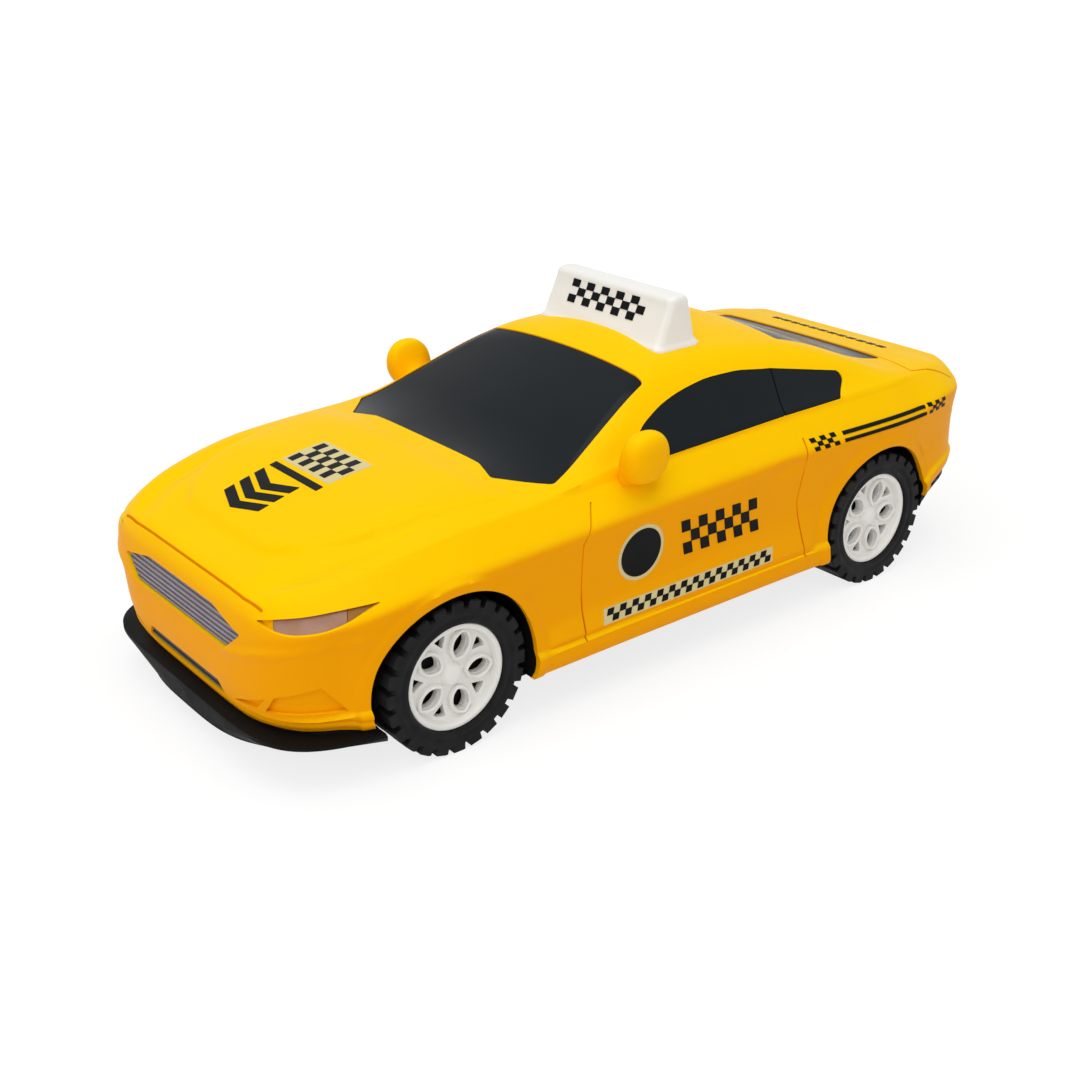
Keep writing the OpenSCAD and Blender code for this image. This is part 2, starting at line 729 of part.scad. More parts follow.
module chassis_rails() {
    rail_x = [rear_axle_x + arch_r + rail_t, front_x - arch_r - rail_t];
    rail_y = half_w * side_shares[0][1] - wall - rail_margin;
    ledge_y = half_w - floor_tuck - rail_t;
    for (side = [0, 1])
        mirror([0, side, 0]) {
            translate([rail_x[0], ledge_y, floor_z - floor_t / 2])
                cube([rail_x[1] - rail_x[0], rail_y - ledge_y, floor_t]);
            translate([rail_x[0], rail_y - rail_t, floor_z - floor_t / 2])
                cube([rail_x[1] - rail_x[0], rail_t, rail_h + floor_t / 2]);
        }
}

module floor_sides() {
    for (side = [0, 1])
        mirror([0, side, 0])
            translate([rear_axle_x, half_w - floor_tuck, floor_z - floor_t - overrun])
                cube([wheelbase, floor_tuck, floor_t + 2 * overrun]);
}

module chassis_base() {
    color("#1c1d1f")
        difference() {
            union() {
                difference() {
                    intersection() {
                        across(-body_w, body_w) chassis_profile(floor_t);
                        linear_extrude(belt_z) polygon(chassis_plan(floor_inset));
                    }
                    floor_sides();
                }
                splitter();
                axle_posts(front_x);
                axle_posts(rear_axle_x);
                chassis_rails();
                for (x = boss_x, side = [-1, 1])
                    translate([x, side * boss_y, floor_z - floor_t]) cylinder(r = pad_r, h = floor_t + pad_h);
                for (p = tab_screws)
                    translate([p[0], p[1], floor_z - floor_t])
                        cylinder(r = case_half / 2 - fit_gap, h = floor_t + pad_h);
            }
            wheel_spaces(arch_r - wheel_clear, wheel_in_y - wheel_clear);
            axle_rod(axle_r + running_gap, -half_w, half_w, front_x, axle_z);
            axle_rod(axle_r + running_gap, -half_w, half_w, rear_axle_x, axle_z);
            for (x = boss_x, side = [-1, 1])
                translate([x, side * boss_y, floor_z - floor_t]) {
                    translate([0, 0, -overrun])
                        cylinder(r = screw_r + screw_gap, h = floor_t + pad_h + 2 * overrun);
                    translate([0, 0, -overrun])
                        cylinder(r = head_r + head_gap, h = head_h + head_gap + overrun);
                }
            for (p = tab_screws)
                translate([p[0], p[1], floor_z + pad_h - small_bite])
                    cylinder(r = small_screw_r + press_gap, h = small_bite + overrun);
            translate([rear_axle_x, 0, floor_z - floor_t / 2])
                cube([2 * (wheel_tip_r + case_gap), 2 * (case_half - case_wall), floor_t + 2 * overrun],
                    center = true);
        }
}

// Nose inserts: a back plate with bars standing forward of it
module nose_insert(bars, low_z, high_z) {
    step = (high_z - low_z) / bars;
    along(nose_back_x, nose_back_x + nose_plate_t) children();
    intersection() {
        along(nose_back_x, nose_back_x + nose_plate_t + nose_bar_t) children();
        for (i = [0:bars - 1])
            translate([nose_back_x, -half_w, low_z + (i + bar_place_share) * step])
                cube([nose_plate_t + nose_bar_t, body_w, step / 2]);
    }
}

module upper_grille() {
    color("#8a8a90")
        nose_insert(grille_bars, grille_shares[2][1] * belt_z,
            grille_shares[0][1] * belt_z) grille_outline(fit_gap);
}

module lower_grille() {
    color("#3a3734")
        nose_insert(intake_bars, intake_shares[1][1] * belt_z,
            intake_shares[0][1] * belt_z) intake_outline(fit_gap);
}

module headlight(side) lamp_lens("#c9c9c6") head_block(fit_gap, side);
module tail_light(side) lamp_lens("#a01814") tail_block(fit_gap, side);

// Roof sign: flange, leaning body and rounded crown, as a stack of rounded plates
module sign_plate(z, w, d, x) {
    for (side = [-1, 1], end = [-1, 1])
        translate([x + end * (d / 2 - sign_r), side * (w / 2 - sign_r), z])
            cylinder(r = sign_r, h = sliver, $fn = 16);
}

// Peg under the sign: grown by gap, reaching down to a depth under the outer skin
module sign_peg(side, gap, depth) {
    y = side * sign_w * sign_peg_share;
    translate([sign_x, y, top_at(sign_x, y) - depth])
        cylinder(r = peg_r + gap, h = depth + sign_flange_h);
}

// Stations of the sign from its flange up to its crown: height, width, depth and place along the car
function sign_stations() =
    let (foot_z = roof_top(sign_x, half_w / 2) - bow / 4,
        body_z = roof_top(sign_x, 0) + sign_flange_h,
        round_h = sign_top / 2,
        round_z = roof_z + sign_h - round_h,
        flange_w = sign_w + 2 * sign_flange,
        flange_d = sign_foot + 2 * sign_flange,
        top_w = sign_w - 2 * sign_side_lean)
    concat(
        [[foot_z, flange_w, flange_d, sign_x],
            [body_z - sign_flange_h / 2, flange_w, flange_d, sign_x],
            [body_z, flange_w - sign_flange, flange_d - sign_flange, sign_x]],
        [for (s = [0, 1 / 2, 1])
            [body_z + s * (round_z - body_z), sign_w + (top_w - sign_w) * s,
                sign_foot + (sign_top - sign_foot) * s, sign_x - sign_lean * s]],
        [for (s = sign_round_shares)
            [round_z + s[0] * round_h, top_w - s[1] * round_h,
                max(sign_top - s[1] * round_h, 2 * sign_r), sign_x - sign_lean]]);

module sign_body() {
    stations = sign_stations();
    for (i = [0:len(stations) - 2])
        hull()
            for (p = [stations[i], stations[i + 1]])
                sign_plate(p[0], p[1], p[2], p[3]);
}

module roof_sign() {
    color("#f4f4f0")
        union() {
            difference() {
                sign_body();
                outer_skin();
            }
            for (side = [-1, 1])
                sign_peg(side, 0, wall - peg_short);
        }
}

// Mirror: a chain of rounded slices from the door skin outwards
function mirror_root() = half_w * curve(side_foot_shares, mirror_x / half_l);

module mirror_slice(t) {
    swell = curve(mirror_swell_shares, t);
    y = mirror_root() - wall + t * (mirror_reach + wall);
    z = belt_z * mirror_z_share + curve(mirror_lift_shares, t) * mirror_h;
    translate([mirror_x, y, z])
        rotate([90, 0, 0])
            scale([mirror_w * swell / 2, mirror_h * swell / 2, 1])
                cylinder(r = 1, h = sliver, $fn = 20);
}

module mirror_peg(side, gap, depth) {
    translate([mirror_x, side * (mirror_root() - depth), belt_z * mirror_foot_share])
        rotate([-90 * side, 0, 0])
            cylinder(r = peg_r + gap, h = depth + wall);
}

module door_mirror(side) {
    color("gold")
        union() {
            difference() {
                mirror([0, side < 0 ? 1 : 0, 0])
                    for (i = [0:mirror_slices - 2])
                        hull() {
                            mirror_slice(i / (mirror_slices - 1));
                            mirror_slice((i + 1) / (mirror_slices - 1));
                        }
                outer_skin();
            }
            mirror_peg(side, 0, wall - peg_short);
        }
}

// Wheels are drawn about the Z axis with the outer face up, then stood on the axle line
module at_wheel(x, side) {
    translate([x, side * wheel_face_y, axle_z]) rotate([-90 * side, 0, 0]) children();
}

module leaf_window(rim_in) {
    span = (leaf_out_share - leaf_in_share) * rim_in;
    mid = (leaf_out_share + leaf_in_share) / 2 * rim_in;
    bow = leaf_bow_share * span;
    off = sqrt(square_of(bow) - square_of(span / 2));
    translate([mid, 0])
        intersection() {
            translate([0, off]) circle(r = bow);
            translate([0, -off]) circle(r = bow);
        }
}

module wedge_window(rim_in) {
    polygon([[wedge_in_share * rim_in, 0], [wedge_out_share * rim_in, wedge_half_share * rim_in],
        [wedge_out_share * rim_in, -wedge_half_share * rim_in]]);
}

module rim(x, side) {
    rim_in = seat_r - barrel_t;
    face = -rim_recess;
    back = tyre_w + hub_reach;
    color("#f2f1ee")
        at_wheel(x, side)
            difference() {
                union() {
                    rotate_extrude()
                        polygon([[rim_in, -tyre_w], [seat_r, -tyre_w], [seat_r, face - lip_t],
                            [lip_r, face - lip_t], [lip_r, face - lip_t / 2], [lip_r - lip_t / 2, face],
                            [rim_in, face - lip_t / 2]]);
                    translate([0, 0, face - disc_drop - disc_t])
                        linear_extrude(disc_t)
                            difference() {
                                circle(r = (rim_in + seat_r) / 2);
                                for (i = [0:spokes - 1]) {
                                    rotate(i * 360 / spokes - side * leaf_turn) leaf_window(rim_in);
                                    rotate((i + 1 / 2) * 360 / spokes - side * leaf_turn) wedge_window(rim_in);
                                }
                            }
                    translate([0, 0, -back]) cylinder(r = hub_r, h = back + face - disc_drop);
                    translate([0, 0, face - disc_drop - disc_t]) cylinder(r = cap_r, h = disc_t + cap_h);
                }
                translate([0, 0, -back - overrun])
                    cylinder(r = axle_r + press_gap, h = back + face - disc_drop - disc_t / 2 + overrun);
            }
}

module tyre(x, side) {
    r = tyre_d / 2;
    seat = seat_r + press_gap;
    lip = lip_r + press_gap;
    lip_z = -rim_recess - lip_t - press_gap;
    step = 360 / lug_count;
    gap = lug_gap_share * PI * tyre_d / lug_count;
    color("#17181a")
        at_wheel(x, side)
            difference() {
                rotate_extrude()
                    polygon([[seat, -tyre_w], [r - tyre_edge, -tyre_w], [r, -tyre_w + tyre_edge],
                        [r, -tyre_edge], [r - tyre_edge, 0], [lip + bead_w, 0], [lip, -rim_recess],
                        [lip, lip_z], [seat, lip_z]]);
                for (i = [0:lug_count - 1], edge = [0, 1])
                    rotate(90 + (i + 1 / 2 + edge / 2) * step)
                        translate([r - lug_h, -gap / 2, edge == 0 ? -tyre_w * lug_in_share : -tyre_w - overrun])
                            cube([lug_h + overrun, gap, tyre_w * lug_in_share + overrun]);
            }
}

module front_axle() color("silver") axle_rod(axle_r, -axle_end, axle_end, front_x, axle_z);
module rear_axle() color("silver") axle_rod(axle_r, -axle_end, axle_end, rear_axle_x, axle_z);

// Gear outline: involute flanks, thinned for backlash
function involute_angle(base, r) = let (t = sqrt(max(square_of(r / base) - 1, 0))) t * 180 / PI - atan(t);

function tooth_flank(teeth) =
    let (pitch = gear_m * teeth / 2,
        base = pitch * cos(pressure_angle),
        low = max(base, pitch - dedendum_share * gear_m),
        high = pitch + addendum_share * gear_m,
        half = 180 / teeth * tooth_share + involute_angle(base, pitch))
    [for (i = [0:gear_steps])
        let (r = low + (high - low) * i / gear_steps) [r, half - involute_angle(base, r)]];

function gear_points(teeth) =
    let (flank = tooth_flank(teeth),
        root = gear_m * (teeth / 2 - dedendum_share),
        tooth = concat([[root, -flank[0][1]]], [for (f = flank) [f[0], -f[1]]],
            [for (i = [gear_steps:-1:0]) flank[i]], [[root, flank[0][1]]]))
    [for (i = [0:teeth - 1], p = tooth) let (a = p[1] + i * 360 / teeth) [p[0] * cos(a), p[0] * sin(a)]];

// Gear on a line across the car, turned by turn degrees
module gear(teeth, low_y, high_y, x, z, turn) {
    translate([x, high_y, z])
        rotate([90, 0, 0])
            linear_extrude(high_y - low_y) rotate(turn) polygon(gear_points(teeth));
}

module drive_gear() {
    color("ivory")
        difference() {
            gear(wheel_teeth, drive_low_y, drive_high_y, rear_axle_x, axle_z, wheel_turn);
            axle_rod(axle_r + press_gap, -case_half, case_half, rear_axle_x, axle_z);
        }
}

module idler_gear() {
    color("ivory")
        difference() {
            union() {
                gear(pinion_teeth, -case_gap / 2, drive_high_y + case_gap / 2, idler_x, idler_z, pinion_turn);
                gear(wheel_teeth, -case_gap / 2 - gear_w, -case_gap / 2, idler_x, idler_z, wheel_turn);
            }
            axle_rod(shaft_r + running_gap, -case_half, case_half, idler_x, idler_z);
        }
}

module idler_shaft() color("silver") axle_rod(shaft_r, -case_half, case_half, idler_x, idler_z);

module flywheel_pinion() {
    color("ivory")
        difference() {
            gear(pinion_teeth, -drive_high_y - case_gap / 2, -case_gap / 4, fly_x, fly_z, pinion_turn);
            axle_rod(shaft_r + press_gap, -case_half, case_half, fly_x, fly_z);
        }
}

module flywheel_shaft() color("silver") axle_rod(shaft_r, -fly_out_y, fly_out_y, fly_x, fly_z);

module flywheel(side) {
    color("#8d9096")
        difference() {
            translate([fly_x, side * fly_in_y, fly_z])
                rotate([-90 * side, 0, 0]) {
                    cylinder(r = shaft_r + flywheel_hub_wall, h = flywheel_hub_t);
                    translate([0, 0, flywheel_hub_t]) cylinder(d = flywheel_d, h = flywheel_t);
                }
            axle_rod(shaft_r + press_gap, -fly_out_y - overrun, fly_out_y + overrun, fly_x, fly_z);
        }
}

// Gear case: two halves that meet at the middle, open below, with a tab at each end
module gear_case(side) {
    low_y = side > 0 ? 0 : -case_half;
    inner_low = side > 0 ? -overrun : -case_half + case_wall;
    color("#2c4f86")
        difference() {
            union() {
                difference() {
                    translate([case_back_x, low_y, floor_z])
                        cube([case_front_x - case_back_x, case_half, case_top_z - floor_z]);
                    translate([case_back_x + case_wall, inner_low, floor_z - overrun])
                        cube([case_front_x - case_back_x - 2 * case_wall, case_half - case_wall + overrun,
                            case_top_z - case_wall - floor_z + overrun]);
                }
                for (p = clamp_points)
                    axle_rod(clamp_inset, low_y, low_y + case_half, p[0], p[1]);
                translate([case_back_x - tab_l, low_y, floor_z + pad_h])
                    cube([tab_l + case_wall / 2, case_half, tab_t]);
                translate([case_front_x - case_wall / 2, low_y, floor_z + pad_h])
                    cube([tab_l + case_wall / 2, case_half, tab_t]);
            }
            axle_rod(axle_r + running_gap, -body_w, body_w, rear_axle_x, axle_z);
            axle_rod(shaft_r + press_gap, -body_w, body_w, idler_x, idler_z);
            axle_rod(shaft_r + running_gap, -body_w, body_w, fly_x, fly_z);
            for (p = clamp_points)
                axle_rod(clamp_r + press_gap, -body_w, body_w, p[0], p[1]);
            for (p = tab_screws)
                translate([p[0], p[1], floor_z]) cylinder(r = small_screw_r + screw_gap, h = case_top_z);
        }
}

module case_clamp_screws() {
    color("silver")
        for (p = clamp_points) {
            axle_rod(clamp_r, -case_half + case_wall, case_half + sliver, p[0], p[1]);
            difference() {
                axle_rod(clamp_head_r, case_half, case_half + clamp_head_h, p[0], p[1]);
                translate([p[0] - clamp_head_r, case_half + clamp_head_h - slot_h, p[1] - slot_w / 2])
                    cube([2 * clamp_head_r, slot_h + overrun, slot_w]);
            }
        }
}

// Slotted screw with its head's underside at the origin and its shank going down
module screw(shank_r, shank_l, top_r, top_h) {
    translate([0, 0, -shank_l]) cylinder(r = shank_r, h = shank_l);
    difference() {
        cylinder(r = top_r, h = top_h);
        translate([-top_r, -slot_w / 2, top_h - slot_h]) cube([2 * top_r, slot_w, slot_h + overrun]);
    }
}

module gear_case_screws() {
    color("silver")
        for (p = tab_screws)
            translate([p[0], p[1], floor_z + pad_h + tab_t])
                screw(small_screw_r, small_bite + tab_t - overrun, small_head_r, small_head_h);
}

module body_screws() {
    color("silver")
        for (x = boss_x, side = [-1, 1])
            translate([x, side * boss_y, floor_z - floor_t + head_h + head_gap])
                rotate([180, 0, 0])
                    screw(screw_r, screw_bite + pad_h, head_r, head_h);
}

body_shell();
window_insert();
chassis_base();
upper_grille();
lower_grille();
headlight(1);  // headlight_left
headlight(-1);  // headlight_right
tail_light(1);  // tail_light_left
tail_light(-1);  // tail_light_right
roof_sign();
door_mirror(1);  // mirror_left
door_mirror(-1);  // mirror_right
front_axle();
rear_axle();
rim(front_x, 1);  // rim_front_left
rim(front_x, -1);  // rim_front_right
rim(rear_axle_x, 1);  // rim_rear_left
rim(rear_axle_x, -1);  // rim_rear_right
tyre(front_x, 1);  // tyre_front_left
tyre(front_x, -1);  // tyre_front_right
tyre(rear_axle_x, 1);  // tyre_rear_left
tyre(rear_axle_x, -1);  // tyre_rear_right
drive_gear();
idler_gear();
idler_shaft();
flywheel_pinion();
flywheel_shaft();
flywheel(1);  // flywheel_left
flywheel(-1);  // flywheel_right
gear_case(1);  // gear_case_left
gear_case(-1);  // gear_case_right
case_clamp_screws();
gear_case_screws();
body_screws();
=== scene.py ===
"""Looks of a friction toy taxi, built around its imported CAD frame.

Shapes are worked out in millimetres, in the frame of the CAD part: X forward, Y to the
left, Z up, with the wheels standing on Z = 0. They turn into metres when a mesh is made.
"""

import logging
import math
from dataclasses import dataclass, field, replace
from enum import Enum
from typing import Any, ClassVar, Iterable, Sequence

import bmesh
import bpy
import numpy as np
from mathutils import Matrix, Vector
from mathutils.bvhtree import BVHTree
from mathutils.geometry import convex_hull_2d


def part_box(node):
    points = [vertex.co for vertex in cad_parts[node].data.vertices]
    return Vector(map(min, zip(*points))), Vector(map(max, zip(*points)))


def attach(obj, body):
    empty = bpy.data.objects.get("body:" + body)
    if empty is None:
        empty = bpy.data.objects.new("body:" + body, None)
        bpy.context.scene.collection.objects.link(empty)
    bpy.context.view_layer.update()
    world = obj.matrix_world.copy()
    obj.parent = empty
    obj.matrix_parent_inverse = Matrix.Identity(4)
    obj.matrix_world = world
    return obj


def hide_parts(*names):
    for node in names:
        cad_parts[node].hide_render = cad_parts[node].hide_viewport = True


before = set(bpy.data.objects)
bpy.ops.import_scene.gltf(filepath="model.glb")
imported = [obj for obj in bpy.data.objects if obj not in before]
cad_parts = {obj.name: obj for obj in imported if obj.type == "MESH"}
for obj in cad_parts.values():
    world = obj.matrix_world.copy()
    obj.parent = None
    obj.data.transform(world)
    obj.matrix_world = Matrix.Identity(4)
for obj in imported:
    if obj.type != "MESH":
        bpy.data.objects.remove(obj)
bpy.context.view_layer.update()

MM = 0.001
TINY = 1e-9
WELD = MM / 1000
# Attribute of how far each corner faces up, which the painted shade of the yellow plastic follows
FACING_MARK = "faces_up"
SIDES = {"left": 1, "right": -1}
LOG = logging.getLogger("toy_taxi")

Rows = Sequence[Sequence[float]]
Pair = tuple[float, float]
Place = tuple[float, float, float]
Faces = list[tuple[int, ...]]
Shape = tuple[np.ndarray, Faces]


class Op(Enum):
    """What a tool solid does to the piece that it meets."""

    CUT = "DIFFERENCE"
    KEEP = "INTERSECT"
    ADD = "UNION"


class Axis(Enum):
    """The direction that a flat outline is drawn out along, as places of (first, second, depth)."""

    X = (1, 2, 0)
    Y = (0, 2, 1)
    Z = (0, 1, 2)


class Body(Enum):
    """The bodies of the frame that pieces ride on."""

    CAR = "car_body"
    FRONT = "front_wheels"
    REAR = "rear_wheels"


def linear(code: str) -> tuple[float, float, float, float]:
    """Turns an sRGB hex colour into linear values.

    Args:
        code: Colour as "#rrggbb".

    Returns:
        Red, green, blue and an alpha of one.
    """
    parts = [int(code[i : i + 2], 16) / 255 for i in (1, 3, 5)]
    red, green, blue = (
        c / 12.92 if c <= 0.04045 else ((c + 0.055) / 1.055) ** 2.4 for c in parts
    )
    return red, green, blue, 1.0


def curve(rows: Rows, x: Any) -> np.ndarray:
    """Reads a smooth curve through the rows of a table, level where the table turns round.

    Args:
        rows: Pairs of place and value, in rising places.
        x: Places to read; those outside the table take its end values.

    Returns:
        The values at those places.
    """
    places, values = np.asarray(rows, float).T
    slopes = np.diff(values) / np.diff(places)
    a, b = slopes[:-1], slopes[1:]
    turning = a * b <= 0
    inner = np.where(turning, 0, 2 * a * b / np.where(turning, 1, a + b))
    knots = np.concatenate((slopes[:1], inner, slopes[-1:]))
    c = np.clip(x, places[0], places[-1])
    i = np.clip(np.searchsorted(places, c, side="right") - 1, 0, len(places) - 2)
    h = places[i + 1] - places[i]
    s = (c - places[i]) / h
    r = 1 - s
    ends = r * r * (1 + 2 * s) * values[i] + s * s * (1 + 2 * r) * values[i + 1]
    return ends + s * r * h * (r * knots[i] - s * knots[i + 1])


def straight(rows: Rows, x: Any) -> np.ndarray:
    """Reads straight lines through the rows of a table, level past its ends."""
    places, values = np.asarray(rows, float).T
    return np.interp(x, places, values)


def blend_min(a: Any, b: Any, k: float) -> np.ndarray:
    """Gives the lower of two heights with a fillet of size k where they meet."""
    return np.minimum(a, b) - np.maximum(k - np.abs(a - b), 0) ** 2 / (4 * k)


def ramp(x: Any, start: Any, stop: Any) -> np.ndarray:
    """Rises smoothly from 0 at start to 1 at stop, which may lie on either side."""
    t = np.clip((x - start) / (stop - start), 0, 1)
    return t * t * (3 - 2 * t)


def plateau(x: Any, span: Sequence[float]) -> np.ndarray:
    """Rises between the first two places of a span, stays at 1 and falls between the last two."""
    return ramp(x, span[0], span[1]) * ramp(x, span[3], span[2])


def bell(x: Any, centre: Any, half: float) -> np.ndarray:
    """Gives a soft ridge of height 1 at a place, with the given half width."""
    return np.exp(-(((x - centre) / half) ** 2))


def hull_outline(centres: Rows, radius: float) -> np.ndarray:
    """Draws the rounded outline around corner circles.

    Args:
        centres: Centres of the corner circles.
        radius: Radius of the corners.

    Returns:
        The outline's points, counter-clockwise.
    """
    turns = np.radians(np.arange(0, 360, 15))
    ring = radius * np.stack((np.cos(turns), np.sin(turns)), 1)
    points = np.concatenate([np.asarray(c, float) + ring for c in centres])
    points = points[convex_hull_2d([Vector(p) for p in points])]
    after = np.roll(points, -1, axis=0)
    area = np.sum(points[:, 0] * after[:, 1] - points[:, 1] * after[:, 0])
    return points if area > 0 else points[::-1]


def mirrored(rows: Rows) -> list[tuple[float, float]]:
    """Adds the mirror images of points across the second axis's zero."""
    return [(a, b) for a, b in rows] + [(a, -b) for a, b in rows]


def rectangle(low: Sequence[float], high: Sequence[float]) -> Rows:
    """Gives the corners of a rectangle in turn, from its lowest and highest one."""
    return low, (high[0], low[1]), high, (low[0], high[1])


def both_sides(near: float, far: float) -> tuple[Pair, Pair]:
    """Gives a span across the car on the left, and its mirror image on the right."""
    return (near, far), (-far, -near)


def loft(rings: Sequence[np.ndarray]) -> Shape:
    """Skins a stack of closed rings that have the same number of points.

    Args:
        rings: Rings of 3-D points, counter-clockwise seen from the last one.

    Returns:
        The points and faces of the closed solid.
    """
    n = len(rings[0])
    faces: Faces = [tuple(range(n))[::-1]]
    for k in range(len(rings) - 1):
        low, high = k * n, (k + 1) * n
        faces += [(low + i, low + (i + 1) % n, high + (i + 1) % n, high + i) for i in range(n)]
    faces.append(tuple(range((len(rings) - 1) * n, len(rings) * n)))
    return np.concatenate(rings), faces


def prism(outline: np.ndarray, axis: Axis, low: float, high: float) -> Shape:
    """Draws an outline out along an axis.

    Args:
        outline: Points of the outline, in the axis's first and second places.
        axis: Axis to draw out along.
        low: Where the solid starts.
        high: Where it ends.

    Returns:
        The points and faces of the closed solid.
    """
    rings = []
    for depth in (low, high):
        ring = np.full((len(outline), 3), depth, float)
        ring[:, axis.value[0]], ring[:, axis.value[1]] = outline[:, 0], outline[:, 1]
        rings.append(ring)
    return loft(rings)


def lathe(profile: Rows, steps: int) -> Shape:
    """Turns a closed profile of radius and height about the Z axis.

    Args:
        profile: Rows of radius and height; a row of radius 0 at both ends closes the solid.
        steps: Number of steps round the axis.

    Returns:
        The points and faces of the solid.
    """
    turns = np.radians(np.arange(steps) * 360 / steps)
    rows = np.asarray(profile, float)
    rings = [np.stack((r * np.cos(turns), r * np.sin(turns), np.full(steps, z)), 1) for r, z in rows]
    points, n = np.concatenate(rings), len(rows)
    faces: Faces = []
    for k in range(n):
        low, high = k * steps, (k + 1) % n * steps
        for i in range(steps):
            j = (i + 1) % steps
            faces.append((low + i, low + j, high + j, high + i))
    return points, faces


def linked(name: str, data: Any) -> bpy.types.Object:
    """Makes an object of a mesh, lamp or camera and links it to the scene."""
    obj = bpy.data.objects.new(name, data)
    bpy.context.scene.collection.objects.link(obj)
    return obj


def piece(name: str, shape: Shape) -> bpy.types.Object:
    """Makes an object from a shape in millimetres, with doubles merged and faces turned outwards.

    Args:
        name: Name of the piece.
        shape: Points and faces.

    Returns:
        The new object, linked to the scene.
    """
    mesh = bpy.data.meshes.new(name)
    mesh.from_pydata((np.asarray(shape[0]) * MM).tolist(), [], shape[1])
    work = bmesh.new()
    work.from_mesh(mesh)
    bmesh.ops.remove_doubles(work, verts=work.verts, dist=WELD)
    bmesh.ops.dissolve_degenerate(work, edges=work.edges, dist=WELD)
    bmesh.ops.recalc_face_normals(work, faces=work.faces)
    work.to_mesh(mesh)
    work.free()
    return linked(name, mesh)


def flatten(obj: bpy.types.Object) -> bpy.types.Object:
    """Turns an object's modifiers into its plain mesh."""
    graph = bpy.context.evaluated_depsgraph_get()
    mesh = bpy.data.meshes.new_from_object(obj.evaluated_get(graph), depsgraph=graph)
    obj.modifiers.clear()
    spent, obj.data = obj.data, mesh
    bpy.data.meshes.remove(spent)
    return obj


def combine(obj: bpy.types.Object, tool: bpy.types.Object, op: Op, keep: bool = False) -> None:
    """Cuts, keeps or adds a tool solid, and removes the tool unless it is kept.

    Args:
        obj: Piece to change.
        tool: The tool solid.
        op: What the tool does.
        keep: Whether the tool is needed again.
    """
    step = obj.modifiers.new("combine", "BOOLEAN")
    step.operation, step.solver, step.object = op.value, "MANIFOLD", tool
    flatten(obj)
    if not keep:
        bpy.data.objects.remove(tool)


def merge(name: str, shapes: Iterable[Shape]) -> bpy.types.Object:
    """Makes one solid from several that overlap.

    Args:
        name: Name of the solid.
        shapes: Shapes to add together.

    Returns:
        The object of the joined solid.
    """
    objects = [piece(name, shape) for shape in shapes]
    for other in objects[1:]:
        combine(objects[0], other, Op.ADD)
    return objects[0]


def join(name: str, objects: Sequence[bpy.types.Object]) -> bpy.types.Object:
    """Puts the meshes of several objects into one piece.

    Args:
        name: Name of the piece.
        objects: Objects to take in; they are removed.

    Returns:
        The one object.
    """
    work = bmesh.new()
    for obj in objects:
        work.from_mesh(obj.data)
        bpy.data.objects.remove(obj)
    mesh = bpy.data.meshes.new(name)
    work.to_mesh(mesh)
    work.free()
    return linked(name, mesh)


def shade(obj: bpy.types.Object, degrees: float = 40) -> bpy.types.Object:
    """Shades a piece smoothly, with edges sharper than an angle kept crisp."""
    obj.data.shade_smooth()
    obj.data.set_sharp_from_angle(angle=math.radians(degrees))
    return obj


def reflected(obj: bpy.types.Object, name: str) -> bpy.types.Object:
    """Copies a piece to the other side of the car, with its faces turned outwards again.

    Args:
        obj: Piece on one side.
        name: Name of the copy.

    Returns:
        The copy.
    """
    copy = linked(name, obj.data.copy())
    copy.data.transform(Matrix.Scale(-1, 4, (0, 1, 0)))
    copy.data.flip_normals()
    return copy


def settle(
    obj: bpy.types.Object, finish: "Finish", slot: str, body: Body, *nodes: str
) -> bpy.types.Object:
    """Dresses a piece, sets it on its body and lets it stand for CAD nodes.

    Args:
        obj: The finished piece.
        finish: Its finish.
        slot: Name of a material slot; not used.
        body: The body that it rides on.
        nodes: CAD nodes that it stands for.

    Returns:
        The piece.
    """
    obj.data.materials.clear()
    obj.data.materials.append(finish.material())
    # A finish with painted shade writes here the facing that its shade follows
    finish.mark(obj)
    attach(obj, body.value)
    if nodes:
        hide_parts(*nodes)
    LOG.info("%s: %d faces on %s", obj.name, len(obj.data.polygons), body.value)
    return obj


def add_node(tree: bpy.types.NodeTree, kind: str, links: dict[Any, Any], **settings: Any) -> Any:
    """Adds one node to a tree.

    Args:
        tree: Shader or geometry tree.
        kind: Type name of the node.
        links: Input by name or place: an output socket to link, or a value to set.
        settings: Properties of the node.

    Returns:
        The node.
    """
    node = tree.nodes.new(kind)
    for key, value in settings.items():
        setattr(node, key, value)
    for key, source in links.items():
        if isinstance(source, bpy.types.NodeSocket):
            tree.links.new(source, node.inputs[key])
        else:
            node.inputs[key].default_value = source
    return node


def bare_tree(owner: Any) -> bpy.types.NodeTree:
    """Gives the emptied node tree of a new material or world."""
    owner.use_nodes = True
    owner.node_tree.nodes.clear()
    return owner.node_tree


